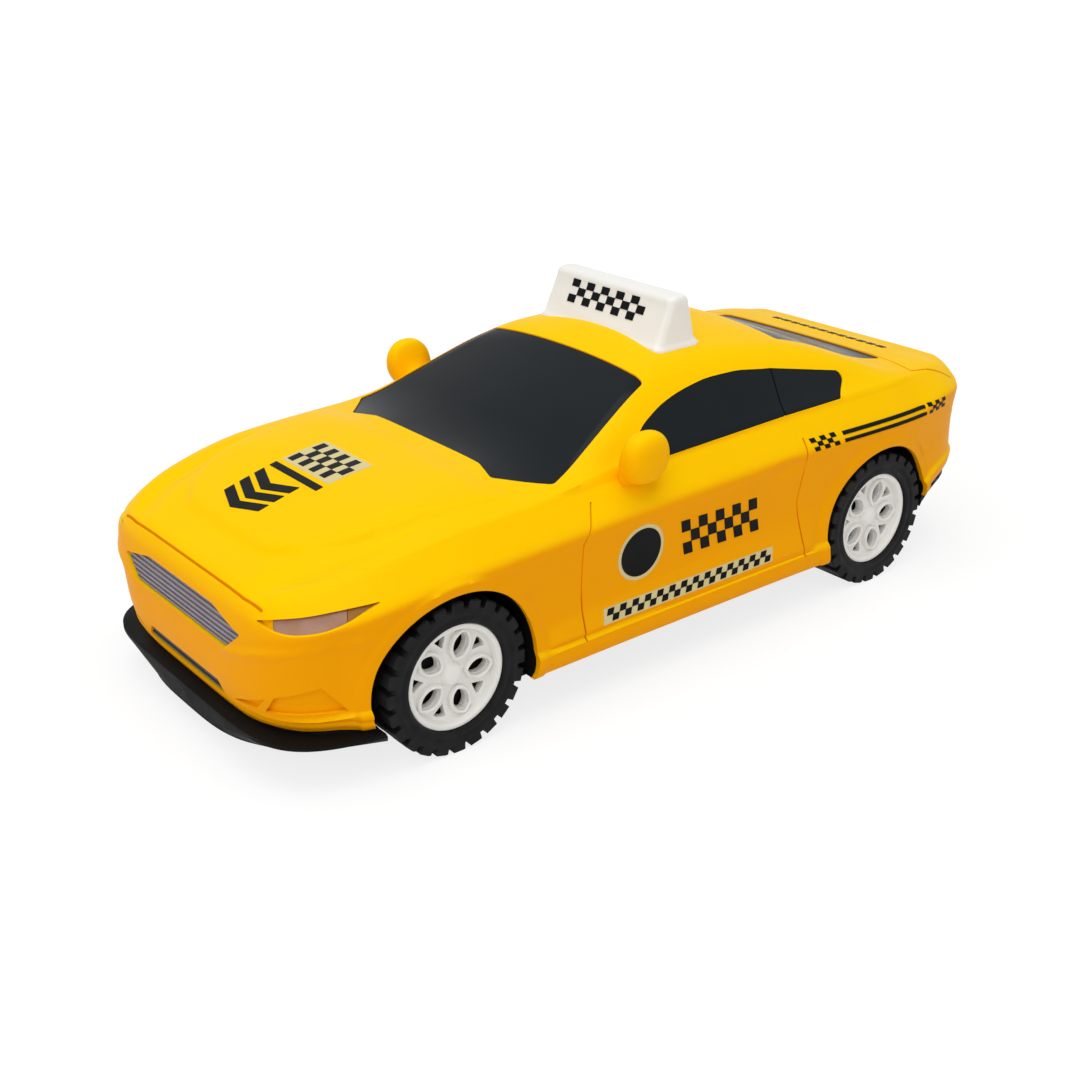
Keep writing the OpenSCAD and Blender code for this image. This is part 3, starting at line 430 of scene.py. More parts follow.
@dataclass(frozen=True)
class Finish:
    """A surface with cloudy colour, uneven gloss and a fine grain, as moulding and handling leave.

    Attributes:
        name: Common name of the material and how its surface was made.
        colour: Main colour.
        tint: Colour of the clouds.
        roughness: Middle of the roughness.
        spread: How far the roughness wanders to either side.
        cloud_mm: Size of the clouds.
        grain_mm: Size of the grain.
        grain_depth_mm: Height of the grain.
        ior: Index of refraction.
        gloss: Strength of the plain reflection, 0.5 for a clean face of that index.
        metallic: 1 for a bare metal.
        coat: Strength of a clear gloss layer.
        SMEARS_PER_CLOUD: How many patches of even gloss a cloud is long.
        NOISE_RANGE: Where most values of a noise lie.
        COAT_ROUGHNESS: Roughness of the clear layer.
    """

    name: str
    colour: str
    tint: str
    roughness: float
    spread: float = 0.05
    cloud_mm: float = 18
    grain_mm: float = 0.6
    grain_depth_mm: float = 0.01
    ior: float = 1.5
    gloss: float = 0.5
    metallic: float = 0
    coat: float = 0
    SMEARS_PER_CLOUD: ClassVar[float] = 1.7
    NOISE_RANGE: ClassVar[Pair] = (0.3, 0.7)
    COAT_ROUGHNESS: ClassVar[float] = 0.08

    def noise(self, tree: bpy.types.NodeTree, place: Any, size_mm: float, detail: float) -> Any:
        """Adds a noise with patches of a size in millimetres, and gives its value."""
        links = {"Vector": place, "Scale": 1 / (size_mm * MM), "Detail": detail}
        return add_node(tree, "ShaderNodeTexNoise", links).outputs["Fac"]

    def hue(self, tree: bpy.types.NodeTree, place: Any) -> Any:
        """Builds the colour.

        Args:
            tree: The material's tree.
            place: Object coordinates.

        Returns:
            The colour's output socket.
        """
        cloud = self.noise(tree, place, self.cloud_mm, 3.0)
        mixed = {0: cloud, 6: linear(self.colour), 7: linear(self.tint)}
        return add_node(tree, "ShaderNodeMix", mixed, data_type="RGBA").outputs[2]

    def mark(self, obj: bpy.types.Object) -> None:
        """Leaves the mesh bare, since a finish of one tone follows no mark on it."""

    def material(self) -> bpy.types.Material:
        """Gives the material, built the first time that it is asked for."""
        found = bpy.data.materials.get(self.name)
        return found or self.build()

    def build(self) -> bpy.types.Material:
        """Builds the material's tree.

        Returns:
            The new material.
        """
        made = bpy.data.materials.new(self.name)
        tree = bare_tree(made)
        place = add_node(tree, "ShaderNodeTexCoord", {}).outputs["Object"]
        smear = self.noise(tree, place, self.cloud_mm / self.SMEARS_PER_CLOUD, 4.0)
        gloss = add_node(
            tree,
            "ShaderNodeMapRange",
            {
                "Value": smear,
                "From Min": self.NOISE_RANGE[0],
                "From Max": self.NOISE_RANGE[1],
                "To Min": self.roughness - self.spread,
                "To Max": self.roughness + self.spread,
            },
        )
        grain = self.noise(tree, place, self.grain_mm, 2.0)
        relief = {"Height": grain, "Distance": self.grain_depth_mm * MM, "Strength": 1.0}
        bump = add_node(tree, "ShaderNodeBump", relief)
        shader = add_node(
            tree,
            "ShaderNodeBsdfPrincipled",
            {
                "Base Color": self.hue(tree, place),
                "Roughness": gloss.outputs[0],
                "Normal": bump.outputs[0],
                "IOR": self.ior,
                "Specular IOR Level": self.gloss,
                "Metallic": self.metallic,
                "Coat Weight": self.coat,
                "Coat Roughness": self.COAT_ROUGHNESS,
            },
        )
        add_node(tree, "ShaderNodeOutputMaterial", {"Surface": shader.outputs[0]})
        return made


@dataclass(frozen=True)
class PaintedShadeFinish(Finish):
    """Yellow plastic with painted shade: faces turned up take the main colour, upright walls a darker wall
    colour.

    Attributes:
        wall: Colour of the painted shade on the upright walls.
        TOP_FACING: Upward share of a face's direction from which it has the main colour, free of painted
            shade.
    """

    wall: str = "#f9a400"
    TOP_FACING: ClassVar[float] = 0.85

    def mark(self, obj: bpy.types.Object) -> None:
        """Writes how far each corner of a piece faces up, for the painted shade to follow.

        Args:
            obj: The finished piece.
        """
        facing = np.zeros(len(obj.data.loops) * 3)
        obj.data.corner_normals.foreach_get("vector", facing)
        rise = obj.data.attributes.new(FACING_MARK, "FLOAT", "CORNER")
        rise.data.foreach_set("value", facing[2::3])

    def hue(self, tree: bpy.types.NodeTree, place: Any) -> Any:
        """Builds the colour.

        Args:
            tree: The material's tree.
            place: Object coordinates.

        Returns:
            The colour's output socket.
        """
        top = super().hue(tree, place)
        up = add_node(tree, "ShaderNodeAttribute", {}, attribute_name=FACING_MARK).outputs["Fac"]
        span = {"Value": up, "From Min": 0.0, "From Max": self.TOP_FACING}
        share = add_node(tree, "ShaderNodeMapRange", span, interpolation_type="SMOOTHSTEP")
        # Painted shade: upright walls take the darker wall colour, faces turned up the main colour
        mixed = {0: share.outputs[0], 6: linear(self.wall), 7: top}
        return add_node(tree, "ShaderNodeMix", mixed, data_type="RGBA").outputs[2]


class Finishes:
    """The finishes of the toy, each named for its real material."""

    # Yellow dyed ABS from a polished mould: a soft sheen, with painted shade that makes the upright walls a
    # deeper orange
    BODY = PaintedShadeFinish("yellow_abs_with_painted_shade", "#ffcd00", "#ffc700", 0.4, ior=1.53, gloss=0.02, coat=0.01)
    # The same ABS on the mirror housings, with paler painted shade on their walls
    HOUSING = replace(BODY, name="yellow_abs_with_paler_painted_shade", wall="#ffb800")
    # Smoked polystyrene: near black, glossy, with faint smears from handling
    GLASS = Finish("smoked_polystyrene", "#14191c", "#1a1f22", 0.22, 0.05, ior=1.58, gloss=0.02, coat=0.1)
    # Black polypropylene with an eroded mould face: a flat, dusty black
    BLACK = Finish(
        "textured_black_polypropylene", "#080807", "#0d0c0b", 0.62, 0.08,
        grain_depth_mm=0.03, ior=1.49, gloss=0.09,
    )
    # White ABS, slightly warm: clean and half gloss
    WHITE = Finish("white_abs", "#f1f0ec", "#e9e7e1", 0.38, coat=0.1)
    # Soft PVC tyres: matt with a faint bloom
    TYRE = Finish("moulded_pvc_rubber", "#0a0a0b", "#111113", 0.72, 0.1, 6, 0.5, 0.05, ior=1.52, gloss=0.2)
    # Metallised lamp inserts under a clear lens: a warm ground that white surroundings turn pinkish grey
    LAMP = Finish(
        "metallised_polystyrene", "#a87456", "#8a6450", 0.3, 0.08, 5, ior=1.59, gloss=0.3, coat=0.15
    )
    # Painted amber end of the lamp: a dull orange brown
    AMBER = Finish("amber_lacquer", "#a06a10", "#8c5c0c", 0.3, gloss=0.25, coat=0.1)
    # Red transparent polystyrene over a dark inside: a deep red with a sharp gloss
    RED = Finish("red_polystyrene", "#a8100a", "#8e0c07", 0.2, ior=1.59, gloss=0.05, coat=0.05)
    # Grey lacquer on the grille: a hint of lilac, half gloss
    GRILLE = Finish("grey_lacquer", "#8e858c", "#7c747c", 0.4, 0.06, 4, 0.4, 0.02)
    # Dark grey ABS in the lower intake: brownish and dull
    INTAKE = Finish("dark_grey_abs", "#4a4038", "#3a332e", 0.5)
    # Black print on a vinyl sticker: deep, with a satin face
    INK = Finish("black_print_on_vinyl", "#08090b", "#0e0f11", 0.45, 0.05, 8, gloss=0.06)
    # Pale sticker ground that shows as a border round the print
    VINYL = Finish("pale_vinyl_film", "#d8c98f", "#cdbd82", 0.4, 0.05, 8)
    # Acetal gears: milky and waxy
    GEAR = Finish("natural_acetal", "#e8e6da", "#dcd9cb", 0.42, 0.06, 5)
    # Blue ABS gear case: an even half gloss
    CASE = Finish("blue_abs", "#2a5ea8", "#24539a", 0.4)
    # Die-cast flywheels: grey with a dull bloom
    CAST = Finish("die_cast_zinc", "#8f9296", "#7d8084", 0.45, 0.1, 3, 0.3, 0.02, metallic=1)
    # Drawn steel rod and screws: bright and clean
    STEEL = Finish("drawn_steel", "#b9bcc0", "#a6a9ad", 0.3, 0.08, 2, 0.2, 0.004, metallic=1)


class Layout(Enum):
    """How a repeated shape is laid out."""

    ROW = "row"
    RING = "ring"


@dataclass
class Repeat:
    """Geometry Nodes that set out one shape many times.

    Attributes:
        layout: Along a straight row, or round the Z axis.
        count: How many there are.
        start: First place in a row, or the place of a ring's centre, in millimetres.
        step: From each place in a row to the next, in millimetres.
        turn: Degrees that a ring is turned by.
    """

    layout: Layout
    count: int
    start: Place = (0, 0, 0)
    step: Place = (0, 0, 0)
    turn: float = 0

    def tree(self) -> tuple[bpy.types.NodeTree, dict[str, str]]:
        """Builds the tree.

        Returns:
            The tree and its inputs' identifiers by name.
        """
        made = bpy.data.node_groups.new(f"{self.layout.value}_of_shapes", "GeometryNodeTree")
        kinds = {
            "Shape": "NodeSocketGeometry",
            "Count": "NodeSocketInt",
            "Start": "NodeSocketVector",
            "Step": "NodeSocketVector",
            "Turn": "NodeSocketFloat",
            "Finish": "NodeSocketMaterial",
        }
        keys = {
            name: made.interface.new_socket(name, in_out="INPUT", socket_type=kind).identifier
            for name, kind in kinds.items()
        }
        made.interface.new_socket("Shape", in_out="OUTPUT", socket_type="NodeSocketGeometry")
        given = add_node(made, "NodeGroupInput", {}).outputs
        still = turned = (0.0, 0.0, 0.0)
        step = given["Step"] if self.layout is Layout.ROW else still
        line = {"Count": given["Count"], "Start Location": given["Start"], "Offset": step}
        places = add_node(made, "GeometryNodeMeshLine", line).outputs[0]
        if self.layout is Layout.RING:
            index = add_node(made, "GeometryNodeInputIndex", {}).outputs[0]
            share = add_node(made, "ShaderNodeMath", {0: index, 1: given["Count"]}, operation="DIVIDE")
            terms = {0: share.outputs[0], 1: math.tau, 2: given["Turn"]}
            angle = add_node(made, "ShaderNodeMath", terms, operation="MULTIPLY_ADD")
            turned = add_node(made, "ShaderNodeCombineXYZ", {"Z": angle.outputs[0]}).outputs[0]
        spots = {"Points": places, "Instance": given["Shape"], "Rotation": turned}
        copies = add_node(made, "GeometryNodeInstanceOnPoints", spots)
        real = add_node(made, "GeometryNodeRealizeInstances", {0: copies.outputs[0]})
        paint = {"Geometry": real.outputs[0], "Material": given["Finish"]}
        painted = add_node(made, "GeometryNodeSetMaterial", paint)
        add_node(made, "NodeGroupOutput", {0: painted.outputs[0]})
        return made, keys

    def apply(self, obj: bpy.types.Object, finish: Finish) -> bpy.types.Object:
        """Turns an object of one shape into the mesh of all its copies.

        Args:
            obj: The shape, about the origin.
            finish: Finish of the copies.

        Returns:
            The object.
        """
        tree, keys = self.tree()
        step = obj.modifiers.new("repeat", "NODES")
        step.node_group = tree
        step[keys["Count"]] = self.count
        step[keys["Start"]] = [v * MM for v in self.start]
        step[keys["Step"]] = [v * MM for v in self.step]
        step[keys["Turn"]] = math.radians(self.turn)
        step[keys["Finish"]] = finish.material()
        flatten(obj)
        bpy.data.node_groups.remove(tree)
        return obj


@dataclass
class BodySurface:
    """The car's skin as a rule, the same as in the part's source."""

    half_l: float = 120
    half_w: float = 53.3
    sill_z: float = 12.6
    belt_z: float = 56.6
    roof_z: float = 76.3
    crown_h: float = 4.2
    roof_bow: float = 11.9
    screen_x: float = 47
    screen_sweep: float = 9.8
    rear_x: float = 95.6
    rear_sweep: float = 10.6
    cabin_blend: float = 3.2
    screen_foot_share: float = 0.9556
    screen_slope: float = 0.435
    rear_foot_share: float = 0.98
    rear_slope: float = 0.39
    flank_foot_share: float = 0.977
    flank_slope: float = 1.05
    kick_x: float = -86.4
    crease_share: float = 0.8
    crease_fall: float = 0.7
    crease_blend: float = 0.03
    nose_power: float = 7.2
    nose_low_power: float = 5.2
    nose_low_share: float = 0.75
    tail_power: float = 7
    crown_power: float = 2.6
    coarse: tuple[int, int] = (120, 54)
    fine: tuple[int, int] = (180, 84)
    bottom: Rows = ((0, 1), (0.5, 1), (0.8, 1.02), (1, 1))
    kick: Rows = ((0, 1), (0.18, 1.66), (0.39, 1.9), (1, 2.1))
    shoulder: Rows = (
        (-1, 0.962), (-0.83, 0.995), (-0.5, 1), (0, 0.984), (0.33, 0.956), (0.625, 0.927),
        (0.83, 0.853), (0.94, 0.796), (1, 0.764),
    )
    width: Rows = ((-1, 0.952), (-0.6, 1), (-0.17, 0.987), (0.17, 0.987), (0.625, 0.998), (1, 0.98))
    crown: Rows = (
        (-1, 0.72), (-0.83, 1.14), (-0.5, 0.95), (0.33, 0.86), (0.625, 1), (0.83, 0.95), (1, 0.71),
    )
    roof: Rows = ((-1, 0.79), (-0.67, 0.91), (-0.42, 0.968), (-0.17, 1), (0.04, 0.993), (0.25, 0.96))
    side_foot: Rows = (
        (-1, 0.77), (-0.79, 0.833), (-0.5, 0.867), (0.04, 0.874), (0.21, 0.848), (0.33, 0.814), (0.5, 0.73),
    )
    nose: Rows = (
        (0, 0.967), (0.12, 0.983), (0.35, 0.99), (0.65, 0.988), (0.85, 0.977), (0.95, 0.962), (1, 0.943),
    )
    tail: Rows = ((0, 0.985), (0.15, 0.996), (0.4, 1), (0.7, 0.996), (0.95, 0.98), (1, 0.964))
    side: Rows = (
        (0, 0.985), (0.05, 0.997), (0.11, 0.997), (0.15, 0.975), (0.4, 0.962), (0.65, 0.98), (0.8, 1),
    )

    def bottom_at(self, x: np.ndarray) -> np.ndarray:
        """Gives the height of the sill at places along the car."""
        rise = curve(self.kick, (self.kick_x - x) / (self.kick_x + self.half_l))
        return self.sill_z * np.where(x < self.kick_x, rise, curve(self.bottom, x / self.half_l))

    def shoulder_at(self, x: np.ndarray) -> np.ndarray:
        """Gives the height of the shoulder at places along the car."""
        return curve(self.shoulder, x / self.half_l) * self.belt_z

    def half_w_at(self, x: np.ndarray) -> np.ndarray:
        """Gives the half width at places along the car."""
        return curve(self.width, x / self.half_l) * self.half_w

    def side_at(self, q: Any) -> np.ndarray:
        """Gives the share of the half width at a share of the height, creased below the shoulder."""
        fall = 1 - (q - self.crease_share) * self.crease_fall
        return blend_min(curve(self.side, q), fall, self.crease_blend)

    def reach_at(self, forward: np.ndarray, q: Any) -> np.ndarray:
        """Gives how far the nose or the tail reaches at a share of the height."""
        return np.where(forward, curve(self.nose, q), curve(self.tail, q)) * self.half_l

    def power_at(self, forward: np.ndarray, q: Any) -> np.ndarray:
        """Gives how square the plan's corners are at a share of the height."""
        low = np.maximum(1 - q / self.nose_low_share, 0)
        nose = self.nose_power - (self.nose_power - self.nose_low_power) * low
        return np.where(forward, nose, self.tail_power)

    def top_at(self, x: np.ndarray, y: np.ndarray) -> np.ndarray:
        """Gives the height of the hood, cabin and boot.

        Args:
            x: Places along the car.
            y: Places across it.

        Returns:
            The heights.
        """
        a, b, n = x / self.half_l, y / self.half_w, self.power_at(x > 0, 1)
        wide = self.half_w_at(x) * self.side_at(1)
        edge = ((np.abs(x) / self.reach_at(x > 0, 1)) ** n + (np.abs(y) / wide) ** n) ** (1 / n)
        dome = curve(self.crown, a) * self.crown_h * (1 - np.minimum(edge, 1) ** self.crown_power)
        lower = self.shoulder_at(x) + dome
        ahead = self.screen_x - self.screen_sweep * b * b - x
        behind = x + self.rear_x - self.rear_sweep * b * b
        inside = curve(self.side_foot, a) * self.half_w - np.abs(y)
        cabin = curve(self.roof, a) * self.roof_z - self.roof_bow * b * b
        for foot, slope, away in (
            (self.screen_foot_share, self.screen_slope, ahead),
            (self.rear_foot_share, self.rear_slope, behind),
            (self.flank_foot_share, self.flank_slope, inside),
        ):
            cabin = blend_min(cabin, foot * self.belt_z + slope * away, self.cabin_blend)
        return -blend_min(-lower, -cabin, self.cabin_blend)

    def plan(self, u: np.ndarray, v: np.ndarray, q: float, inset: float) -> tuple[np.ndarray, np.ndarray]:
        """Maps places in a square to the car's plan at a share of its height.

        Args:
            u: Places along the square, from -1 to 1.
            v: Places across it.
            q: Share of the height from the sill to the shoulder.
            inset: How far inside the skin.

        Returns:
            Places along and across the car.
        """
        n = self.power_at(u > 0, q)
        far = np.maximum(np.abs(u), np.abs(v))
        k = far / np.maximum((np.abs(u) ** n + np.abs(v) ** n) ** (1 / n), TINY)
        x = (self.reach_at(u > 0, q) - inset) * u * k
        return x, (self.half_w_at(x) * self.side_at(q) - inset) * v * k

    def solid(self, inset: float, drop: float, cells: tuple[int, int], levels: np.ndarray) -> Shape:
        """Builds the closed solid under the skin.

        Args:
            inset: How far inside the skin.
            drop: How far the foot is drawn down below the sill.
            cells: Cells along and across the top.
            levels: Shares of the height for the rings of the walls, from 0 up to 1.

        Returns:
            The points and faces.
        """
        n, m = cells
        u, v = np.meshgrid(np.linspace(-1, 1, n + 1), np.linspace(-1, 1, m + 1), indexing="ij")
        grid = np.arange((n + 1) * (m + 1)).reshape(n + 1, m + 1)
        loop = np.concatenate((grid[:-1, 0], grid[-1, :-1], grid[:0:-1, -1], grid[0, :0:-1]))
        x, y = self.plan(u, v, 1, inset)
        blocks = [np.stack((x, y, self.top_at(x, y) - inset), 2).reshape(-1, 3)]
        faces = [
            (grid[i, j], grid[i + 1, j], grid[i + 1, j + 1], grid[i, j + 1])
            for i in range(n)
            for j in range(m)
        ]
        rings, start = [loop], grid.size
        for q in levels[-2::-1]:
            x, y = self.plan(u.ravel()[loop], v.ravel()[loop], q, inset)
            low = self.bottom_at(x) - drop
            blocks.append(np.stack((x, y, low + q * (self.shoulder_at(x) - inset - low)), 1))
            rings.append(np.arange(start, start + len(loop)))
            start += len(loop)
        for high, low in zip(rings, rings[1:]):
            sides = zip(low, np.roll(low, -1), np.roll(high, -1), high)
            faces += [tuple(f) for f in sides]
        foot = rings[-1]
        right, left = foot[: n + 1], foot[n + m : 2 * n + m + 1][::-1]
        faces.append((*foot[2 * n + m :], right[0], right[1], left[1])[::-1])
        faces += [(right[i], left[i], left[i + 1], right[i + 1]) for i in range(1, n - 1)]
        faces.append((right[n - 1], *foot[n : n + m + 1], left[n - 1])[::-1])
        return np.concatenate(blocks), [tuple(int(i) for i in f) for f in faces]

    def plain(
        self, name: str, inset: float, drop: float, cells: tuple[int, int], rings: int
    ) -> bpy.types.Object:
        """Makes the closed solid under the skin as an object, with evenly spaced rings in its walls."""
        return piece(name, self.solid(inset, drop, cells, np.linspace(0, 1, rings)))


@dataclass(frozen=True)
class LampEdges:
    """The opening of a lamp in the shell.

    Attributes:
        tips: Both ends in plan, as shares of the half length and half width.
        low: Lower edge over the lamp's length, as shares of the belt height.
        high: Upper edge.
    """

    tips: Rows
    low: Rows
    high: Rows


@dataclass
class BodyShell:
    """The yellow shell: its skin with moulded relief, cut for windows, lamps, grille and wheels."""

    surface: BodySurface
    axles: Pair
    axle_z: float
    wall: float = 2
    cells: tuple[int, int] = (232, 104)
    # Bands of the walls' height, as low share, high share and number of rings
    ring_bands: Rows = ((0, 0.2, 16), (0.2, 0.74, 23), (0.74, 0.88, 9), (0.88, 1, 8))
    past_share: float = 1.2
    overrun: float = 10
    # Sideways and upward shares of a face's direction over which flank and top relief set in
    flank_range: Pair = (0.35, 0.7)
    upper_range: Pair = (0.4, 0.7)
    # Wheel arches, their lips, and dark liners that paint shade on the arches' inner faces
    arch_r: float = 22
    arch_y: float = 34.9
    arch_end: float = 80
    lip_w: float = 2.4
    lip_h: float = 0.55
    lip_ease: float = 0.7
    liner_lap: float = 0.02
    liner_t: float = 0.3
    liner_drop: float = 0.8
    # Skirt along the sill, from the rear arch to the front one, with a groove under it
    skirt_h: float = 0.9
    skirt_ends: Sequence[float] = (3, 8, 7, 2)
    skirt_top: float = 27.5
    skirt_fall: float = 0.07
    skirt_foot: Pair = (-0.3, 0.5)
    groove_z: float = 18.3
    groove_depth: float = 0.5
    groove_half: float = 0.5
    # Dent for the fingers at the door's rear end
    dent_depth: float = 0.7
    dent_at: Pair = (-30, 45)
    dent_half: Pair = (6, 1.7)
    # Raised middle of the hood and the creases beside it
    bulge_h: float = 1.2
    bulge_ease: float = 1.3
    bulge_x: Sequence[float] = (50, 60, 103.4, 106.2)
    bulge_edge: Rows = ((43, 43), (60, 40), (90, 33.4), (99.5, 26.8), (105, 18))
    crease_depth: float = 1.1
    crease_half: float = 3.2
    crease_range: Pair = (0.3, 0.6)
    crease_x: Sequence[float] = (62, 84, 112, 114)
    crease_line: Rows = ((62, 41), (81, 38.2), (103, 35), (113.5, 28))
    # Nose: a brow under the lamps, a line over the chin and cheeks that draw in
    brow_h: float = 0.5
    brow_half: float = 1.3
    brow_x: Pair = (92, 100)
    brow_y: Pair = (20, 24)
    brow_line: Rows = ((22.9, 29.5), (47.6, 36))
    chin_depth: float = 0.4
    chin_x: Pair = (88, 96)
    chin_z: float = 15.4
    chin_half: float = 0.45
    cheek_slope: float = 0.04
    cheek_x: Pair = (98, 104)
    cheek_y: float = 25
    cheek_z: Pair = (41, 36)
    # Raised rear edge of the boot
    tail_edge_h: float = 0.5
    tail_edge_x: float = -112.5
    tail_edge_half: float = 2.2
    tail_edge_y: Pair = (46, 40)
    # Windows, as shares of the screen's, rear window's or cabin's sizes
    corner_r: float = 1.5
    glass_low_share: float = 0.85
    side_near_share: float = 1 / 3
    arc_steps: int = 48
    screen_middle: Rows = ((0.095, 0.5), (0.987, 0.5))
    screen_outer: Rows = ((0.095, 0.4), (0.095, 0.575), (0.849, 0.756), (1.036, 0.568), (0.987, 0.43))
    rear_window: Rows = ((0.546, 0.477), (0.939, 0.557))
    side_front: Rows = (
        (0.105, 0.06), (0.095, 0.168), (0.052, 0.294), (-0.01, 0.403), (-0.078, 0.472),
        (-0.151, 0.508), (-0.219, 0.502), (-0.3, 0.448), (-0.3, 0.07), (0.06, 0.015),
    )
    side_rear: Rows = (
        (-0.3, 0.448), (-0.325, 0.432), (-0.408, 0.335), (-0.51, 0.223), (-0.473, 0.081), (-0.3, 0.07),
    )
    # Grille and intake, as shares of the half width and the belt height
    grille: Rows = ((0.3, 0.672), (0.53, 0.625), (0.42, 0.54))
    intake: Rows = ((0.32, 0.345), (0.35, 0.3))
    grille_corner: float = 0.4
    least_corner: float = 0.05
    # Lamps
    lamp_depth: float = 12
    lamp_steps: int = 24
    lamp_least: float = 0.1
    head: LampEdges = LampEdges(
        ((0.787, 0.927), (0.964, 0.636)),
        ((0, 0.775), (0.12, 0.752), (0.28, 0.722), (0.5, 0.699), (0.74, 0.69), (0.86, 0.694), (1, 0.711)),
        ((0, 0.78), (0.3, 0.77), (0.6, 0.753), (0.8, 0.74), (1, 0.718)),
    )
    tail: LampEdges = LampEdges(
        ((-0.955, 0.86), (-1, 0.36)),
        ((0, 0.735), (0.5, 0.7), (1, 0.7)),
        ((0, 0.8), (0.5, 0.81), (1, 0.8)),
    )
    # Hollows low in the bumper's corners, each in two parts, cut along one direction
    fog_depth: float = 1.75
    fog_reach: float = 6
    fog_out: Place = (0.75, 0.66, 0.05)
    fog_parts: Sequence[Rows] = (
        ((118.2, 23.5, 17.6), (116.6, 31.4, 17.9), (115, 33.6, 21.4)),
        ((116, 34.2, 18), (104.2, 48, 18.6), (108.7, 45.5, 25.3), (114.4, 36.4, 22.4)),
    )
    # Joint lines: the doors' as shares of the half length and the belt height, the others in plan
    line_w: float = 0.45
    line_depth: float = 0.45
    line_near_share: float = 0.5
    line_low_share: float = 0.65
    door_front: Rows = ((0.285, 0.9), (0.33, 0.76), (0.32, 0.3))
    door_rear: Rows = ((-0.315, 0.9), (-0.3, 0.6), (-0.33, 0.3))
    hood_line: Rows = ((114.4, -34), (115, -27), (115, 27), (114.4, 34))
    boot_line: Rows = ((-109, -43.5), (-92, -42), (-92, 42), (-109, 43.5))

    def flank_relief(self, x: np.ndarray, z: np.ndarray) -> np.ndarray:
        """Gives the relief of the flanks: arch lips, the sill's skirt and groove, and the dent.

        Args:
            x: Places along the car.
            z: Heights.

        Returns:
            Heights over the skin.
        """
        high = np.zeros(len(x))
        rim = self.arch_r + self.lip_w
        for axle in self.axles:
            high += self.lip_h * ramp(np.hypot(x - axle, z - self.axle_z), rim + self.lip_ease, rim)
        front, rear = self.axles[0] - self.arch_r, self.axles[1] + self.arch_r
        ends = self.skirt_ends
        between = plateau(x, (rear + ends[0], rear + ends[1], front - ends[2], front - ends[3]))
        top = self.skirt_top - self.skirt_fall * x
        foot = [self.groove_z + ease for ease in self.skirt_foot]
        skirt = self.skirt_h * np.clip((top - z) / (top - self.groove_z), 0, 1) * ramp(z, *foot)
        groove = self.groove_depth * bell(z, self.groove_z, self.groove_half)
        dent = bell(x, self.dent_at[0], self.dent_half[0]) * bell(z, self.dent_at[1], self.dent_half[1])
        return high + between * (skirt - groove) - self.dent_depth * dent

    def hood_relief(self, x: np.ndarray, y: np.ndarray, rise: np.ndarray) -> np.ndarray:
        """Gives the relief of the hood: its raised middle and the creases beside it.

        Args:
            x: Places along the car.
            y: Distances from its middle.
            rise: Upward shares of the faces' directions.

        Returns:
            Heights over the skin.
        """
        edge = straight(self.bulge_edge, x)
        bulge = ramp(y, edge + self.bulge_ease, edge - self.bulge_ease) * plateau(x, self.bulge_x)
        crease = bell(y, straight(self.crease_line, x), self.crease_half) * plateau(x, self.crease_x)
        raised = self.bulge_h * bulge * ramp(rise, *self.upper_range)
        return raised - self.crease_depth * crease * ramp(rise, *self.crease_range)

    def nose_relief(self, x: np.ndarray, y: np.ndarray, z: np.ndarray, upright: np.ndarray) -> np.ndarray:
        """Gives the relief of the nose: the brow, the chin's line and the cheeks.

        Args:
            x: Places along the car.
            y: Distances from its middle.
            z: Heights.
            upright: 1 on upright faces, falling to 0 on those turned up.

        Returns:
            Heights over the skin.
        """
        brow = self.brow_h * bell(z, straight(self.brow_line, y), self.brow_half)
        brow *= ramp(x, *self.brow_x) * ramp(y, *self.brow_y)
        cheek = self.cheek_slope * np.maximum(y - self.cheek_y, 0)
        cheek *= ramp(x, *self.cheek_x) * ramp(z, *self.cheek_z)
        chin = self.chin_depth * ramp(x, *self.chin_x) * bell(z, self.chin_z, self.chin_half)
        return upright * (brow - cheek) - chin

    def relief(self, p: np.ndarray, normal: np.ndarray) -> np.ndarray:
        """Gives how far the moulded details stand out of the plain skin.

        Args:
            p: Points of the skin.
            normal: Their outward directions.

        Returns:
            Heights over the skin, below zero in hollows.
        """
        x, y, z = p[:, 0], np.abs(p[:, 1]), p[:, 2]
        flank = ramp(np.abs(normal[:, 1]), *self.flank_range)
        upper = ramp(normal[:, 2], *self.upper_range)
        tail_edge = bell(x, self.tail_edge_x, self.tail_edge_half) * ramp(y, *self.tail_edge_y)
        high = flank * self.flank_relief(x, z) + self.hood_relief(x, y, normal[:, 2])
        return high + self.nose_relief(x, y, z, 1 - upper) + self.tail_edge_h * upper * tail_edge

    def skin(self) -> Shape:
        """Builds the outer skin with its relief.

        Returns:
            The points and faces.
        """
        bands = [np.linspace(low, high, int(rings) + 1)[1:] for low, high, rings in self.ring_bands]
        levels = np.concatenate(([0.0], *bands))
        probe = piece("probe", self.surface.solid(0, 0, self.cells, levels))
        normals = np.zeros(len(probe.data.vertices) * 3)
        probe.data.vertices.foreach_get("normal", normals)
        places = np.zeros(len(normals))
        probe.data.vertices.foreach_get("co", places)
        places, normals = places.reshape(-1, 3) / MM, normals.reshape(-1, 3)
        moved = places + normals * self.relief(places, normals)[:, None]
        shape = moved, [tuple(f.vertices) for f in probe.data.polygons]
        bpy.data.objects.remove(probe)
        return shape

    def inner(self, inset: float, drop: float = 4) -> bpy.types.Object:
        """Builds a plain solid under the skin, with its foot drawn down below the sill."""
        return self.surface.plain("inner", inset, drop, self.surface.coarse, rings=25)

    def layer(self, name: str, near: float, far: float) -> bpy.types.Object:
        """Builds a thin shell between two depths under the skin.

        Args:
            name: Name of the shell.
            near: Its outer depth.
            far: Its inner depth.

        Returns:
            The shell.
        """
        made = self.surface.plain(name, near, 2, self.surface.fine, rings=40)
        combine(made, self.inner(far), Op.CUT)
        return made

